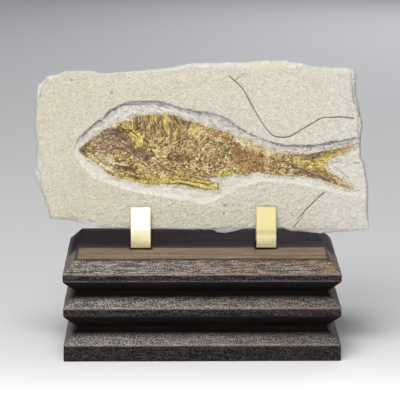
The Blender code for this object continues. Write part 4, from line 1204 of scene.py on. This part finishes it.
def stone_material():
    """Pale split limestone, whiter where it is cut or broken, with painted light and shade on its rims and
    in its trench.
    """
    f = Finish("stone")
    place = f.place()
    u, _, depth = f.parts(place)
    fibres = f.drawn(place, (0.8, 2.3, 1.0), -16, detail=2.5, roughness=0.5)
    folds = f.drawn(place, (0.36, 0.58, 0.5), -24, roughness=0.6)
    here = f.drawn(place, (0.2, 0.34, 0.3), detail=2.0)
    crease = f.times(f.spread(f.off(folds, 0.5), 0.0, 0.025, 1.0, 0.0), f.spread(here, 0.46, 0.6))
    slow = f.drawn(place, (0.16, 0.4, 0.3), -14, detail=2.0)
    colour = f.ramp(fibres, SPLIT_STONE)
    colour = f.mix(f.spread(slow, 0.3, 0.7, 0.0, 0.3), colour, (204, 200, 186))
    colour = f.mix(f.times(crease, 0.5), colour, (150, 146, 134))
    warmth = f.spread(f.noise(place, 0.045), 0.3, 0.7, 0.2, -0.2)
    warmth = f.plus(f.spread(u, -30.0, 70.0, 0.9, 0.15), warmth)
    colour = f.mix(warmth, colour, f.mix(1.0, colour, (248, 244, 231), "MULTIPLY"))
    grit = f.drawn(place, (0.8, 2.6, 1.5), -20, detail=2.0, roughness=0.5)
    colour = f.mix(f.spread(grit, 0.62, 0.73, 0.0, 0.75), colour, (138, 133, 124))
    # The back is warmer, and the sides show the layers.
    behind = f.mix(1.0, colour, f.ramp(slow, BACK_TINT), "MULTIPLY")
    colour = f.mix(f.spread(depth, -5.0, -6.5), colour, behind)
    laid = f.drawn(place, (0.02, 0.02, 2.2), detail=4.0, roughness=0.7)
    colour = f.mix(f.mask("side"), colour, f.ramp(laid, SIDE_LAYERS))
    # The trench, and then the places where the stone is flaked, broken or stained.
    ragged = f.drawn(place, (0.7, 1.3, 1.0), 10, detail=4.0, roughness=0.6)
    mark = f.plus(f.mask("mark"), f.spread(ragged, 0.3, 0.7, -0.12, 0.12))
    colour = f.mix(f.mask("trench"), colour, f.ramp(mark, TRENCH_SHADES))
    # Flaked and broken stone is paler; on the left rim and at the foot it turns cool grey as painted shade.
    flaked = f.times(f.mask("flake"), f.spread(ragged, 0.25, 0.45, 0.3, 0.7))
    colour = f.mix(flaked, colour, f.mix(f.mask("cool_shade"), (222, 219, 208), (218, 219, 224)))
    broken = f.times(f.mask("broken"), f.spread(ragged, 0.25, 0.45, 0.45, 0.95))
    colour = f.mix(broken, colour, f.mix(f.mask("cool_shade"), (233, 232, 226), (219, 220, 223)))
    stained = f.times(f.mask("stain"), f.spread(ragged, 0.3, 0.6, 0.3, 0.8))
    colour = f.mix(stained, colour, (226, 220, 184))
    # Crumbs of bone beside the fish.
    patchy = f.spread(f.noise(place, 0.16, 2.0), 0.42, 0.58, 0.1, 1.0)
    crumbs = f.times(f.mask("beside_fish"), f.times(patchy, f.spread(grit, 0.44, 0.56)))
    at_rim = f.times(f.spread(f.mask("beside_fish"), 0.66, 0.92, 0.0, 0.5), f.spread(grit, 0.4, 0.52))
    crumbs = f.math("MAXIMUM", crumbs, at_rim)
    colour = f.mix(f.spread(crumbs, 0.18, 0.6, 0.0, 0.75), colour, (168, 150, 98))
    scratched = f.times(f.mask("scratch"), f.spread(ragged, 0.35, 0.6, 0.2, 0.65))
    colour = f.mix(scratched, colour, (84, 80, 86))
    colour = f.mix(f.spread(f.mask("crack"), 0.0, 0.75, 0.0, 0.92), colour, (84, 80, 70))
    rough = f.bump(folds, 1.5, 0.8, f.bump(fibres, 0.5))
    normal = f.bump(f.noise(place, 2.6, roughness=0.6), 0.12, 0.6, rough)
    return f.finish(Base_Color=colour, Roughness=0.88, Normal=normal)


def bone_material():
    """Bone and scales turned to brown, yellow and cream minerals. Each kind has its own scale of tones."""
    f = Finish("bone")
    fine = f.noise(f.place(), 2.0, roughness=0.6)
    tone = f.plus(f.mask("tone"), f.spread(fine, 0.3, 0.7, -0.12, 0.12))
    tone = f.plus(tone, f.times(f.mask("bone"), 0.06))
    ramps = {kind: f.ramp(tone, [*zip(MINERAL_STOPS, tones)]) for kind, tones in MINERALS.items()}
    colour = ramps.pop("brown")
    for kind, ramp in ramps.items():
        colour = f.mix(f.mask(kind), colour, ramp)
    rim = f.times(f.mask("rim"), f.spread(fine, 0.35, 0.65, 0.0, 0.5))
    colour = f.mix(rim, colour, (206, 196, 158))
    normal = f.bump(fine, 0.14, 0.6)
    return f.finish(Base_Color=colour, Roughness=0.68, Normal=normal, Specular_IOR_Level=0.3)


def wood_material():
    """Dark stained hardwood with open grain along the base, paler on the faces that look up from wear and a
    painted sheen, with painted shade in its grooves, under the slab and by the holders.
    """
    f = Finish("wood")
    place = f.object_place()
    along_x, across, height = f.parts(place)
    speckle = f.drawn(place, (1.6, 2.4, 2.4), detail=2.0, roughness=0.5)
    lines = f.drawn(place, (0.16, 2.0, 2.0), roughness=0.6)
    pores = f.mix(f.spread(height, 36.0, 42.0, 0.3, 0.5), speckle, lines)
    streaks = f.drawn(place, (0.035, 0.55, 0.55), detail=5.0, roughness=0.65, distortion=0.4)
    red = f.drawn(place, (0.016, 0.12, 0.12))
    colour = f.mix(f.spread(red, 0.55, 0.7, 0.0, 0.4), f.ramp(pores, DARK_WOOD), (84, 46, 38))
    # Faces that look up: paler from wear and a painted sheen, golden to the right, with painted shade low
    # down and to the right, and a warm line in the seams.
    golden = f.times(f.spread(along_x, -40.0, 50.0, 0.25, 1.0), f.spread(height, 36.0, 44.0, 0.25, 1.0))
    golden = f.times(golden, f.spread(streaks, 0.42, 0.58))
    worn = f.mix(golden, f.ramp(pores, WORN_AND_SHEEN_WOOD), f.ramp(pores, GOLDEN_WOOD))
    # Painted shade: darker low down and towards the right.
    dimming_shade = f.times(f.spread(along_x, -40.0, 65.0, 0.0, 0.4), f.spread(height, 38.0, 32.0, 0.4, 1.0))
    worn = f.mix(dimming_shade, worn, (34, 31, 31))
    worn = f.mix(f.times(f.mask("seam"), 0.8), worn, (98, 62, 36))
    worn = f.mix(f.spread(height, 46.8, 47.5, 0.0, 0.8), worn, (50, 42, 36))
    colour = f.mix(f.mask("upward"), colour, worn)
    # The top, with a painted shadow of the slab in its shelter and painted contact shadows where the
    # holders touch it.
    top = f.ramp(f.mix(0.4, streaks, lines), TOP_WOOD)
    top = f.mix(f.spread(speckle, 0.35, 0.65, 0.0, 0.3), top, (152, 140, 122))
    colour = f.mix(f.mask("top"), colour, top)
    # Painted shadow of the slab on the top, behind its foot.
    slab_shadow = f.times(f.spread(across, 37.0, 25.0, 0.4, 1.0), f.spread(height, 43.0, 44.5))
    slab_shadow = f.times(slab_shadow, f.spread(f.plus(across, streaks), -10.2, -9.0))
    colour = f.mix(slab_shadow, colour, f.ramp(streaks, SLAB_SHADOW_WOOD))
    # Painted contact shadow round the front and sides of each holder's foot.
    for middle in HOLDER_MIDDLES:
        holder_shadow = f.times(f.spread(f.off(along_x, middle), 5.9, 5.1), f.spread(across, *HOLDER_SHADOW_SPAN))
        colour = f.mix(f.times(holder_shadow, f.mask("top")), colour, (22, 16, 16))
    rubbed = f.times(f.mask("edge"), f.spread(pores, 0.3, 0.55, 0.1, 0.6))
    colour = f.mix(rubbed, colour, (176, 162, 150))
    # Painted shade, near black, in the recessed necks and on the faces that look down.
    colour = f.mix(f.mask("groove_shade"), colour, f.ramp(streaks, GROOVE_SHADE_WOOD))
    normal = f.bump(pores, 0.35, 0.8)
    rough = f.spread(pores, 0.3, 0.7, 0.5, 0.75)
    return f.finish(Base_Color=colour, Roughness=rough, Normal=normal, Specular_IOR_Level=0.1)


def brass_material(name, lip_light_colour):
    """Satin brass with a faint mottle; up on the lip its colour is painted light, and a painted shadow line
    runs along the foot.
    """
    f = Finish(name)
    place = f.object_place()
    _, across, height = f.parts(place)
    mottle = f.noise(place, 0.5, 5.0, 0.65)
    on_lip = f.times(f.spread(height, *LIP_HEIGHTS), f.spread(across, *LIP_DEPTHS))
    colour = f.mix(on_lip, f.ramp(mottle, BRASS), lip_light_colour)
    # Painted contact shadow: a dark line along the foot.
    colour = f.mix(f.spread(height, *FOOT_SHADOW_HEIGHTS), colour, (0.05, 0.04, 0.03, 1.0))
    rough = f.spread(mottle, 0.3, 0.7, 0.44, 0.54)
    normal = f.bump(f.noise(place, 3.0), 0.02, 0.6)
    return f.finish(Base_Color=colour, Metallic=0.7, Roughness=rough, Normal=normal)


def dress_holders():
    """The holders keep the part's own solids and get their finish here."""
    for side, lip_light_colour in LIP_LIGHT_COLOURS.items():
        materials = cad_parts[f"brass_holder_{side}"].data.materials
        materials.clear()
        materials.append(brass_material(f"brass_{side}", lip_light_colour))


# ---- Scene: places and sizes in metres ---------------------------------------------------------------
CAMERA_PLACE = (-0.012, -1.0386, 0.282)
CAMERA_DOWN = math.radians(11.58)
CAMERA_TURN = math.radians(-0.626)
CAMERA_LENS = 198.0
CAMERA_SENSOR = 36.0
CAMERA_CLIP = (0.01, 50.0)
FLOOR_SIZE = 12.0
FLOOR_DROP = 0.2 * MM
FLOOR_COLOUR = (0.8, 0.8, 0.8, 1.0)
WORLD_COLOUR = (0.86, 0.88, 1.0, 1.0)
WORLD_STRENGTH = 0.16
AIM = (0.0, 0.0, 0.08)  # what the lights face
# Flat soft lights: (name, place, (width, height), watts, colour).
LIGHTS = [
    ("key", (-0.34, -0.78, 0.99), (0.75, 0.6), 6.0, (1.0, 0.985, 0.955)),
    ("high", (-0.12, -0.3, 1.33), (0.6, 0.4), 8.0, (1.0, 0.985, 0.955)),
    ("front", (0.1, -1.9, 0.35), (1.6, 0.5), 3.0, (1.0, 0.98, 0.96)),
    ("back", (0.5, 1.3, 0.55), (0.9, 0.6), 3.5, (0.95, 0.97, 1.0)),
    ("pool", (0.0, -0.42, 0.55), (0.5, 0.25), 2.6, (1.0, 0.985, 0.96)),
]
POOL_SPREAD = math.radians(70)


def make_camera():
    data = bpy.data.cameras.new("camera")
    data.lens = CAMERA_LENS
    data.sensor_width = CAMERA_SENSOR
    data.clip_start, data.clip_end = CAMERA_CLIP
    camera = add_object("camera", data)
    camera.location = CAMERA_PLACE
    camera.rotation_euler = (math.pi / 2 - CAMERA_DOWN, 0.0, CAMERA_TURN)
    bpy.context.scene.camera = camera


def make_lights():
    world = bpy.data.worlds.new("studio")
    world.use_nodes = True
    background = world.node_tree.nodes["Background"]
    background.inputs["Color"].default_value = WORLD_COLOUR
    background.inputs["Strength"].default_value = WORLD_STRENGTH
    bpy.context.scene.world = world
    for name, place, size, power, colour in LIGHTS:
        data = bpy.data.lights.new(name, "AREA")
        data.shape = "RECTANGLE"
        data.size, data.size_y = size
        data.energy = power
        data.color = colour
        light = add_object(name, data)
        light.location = place
        if name == "pool":  # shines straight down on the floor before the base
            data.spread = POOL_SPREAD
        else:
            light.rotation_euler = (Vector(place) - Vector(AIM)).to_track_quat("Z", "Y").to_euler()


def make_floor():
    mesh = bpy.data.meshes.new("floor")
    half = FLOOR_SIZE / 2
    corners = [(x * half, y * half, -FLOOR_DROP) for x, y in ((-1, -1), (1, -1), (1, 1), (-1, 1))]
    mesh.from_pydata(corners, [], [(0, 1, 2, 3)])
    mesh.materials.append(Finish("floor").finish(Base_Color=FLOOR_COLOUR, Roughness=0.9))
    add_object("floor", mesh)


make_slab()
make_fish()
make_base()
dress_holders()
make_camera()
make_lights()
make_floor()
bpy.context.scene.view_settings.view_transform = "Standard"
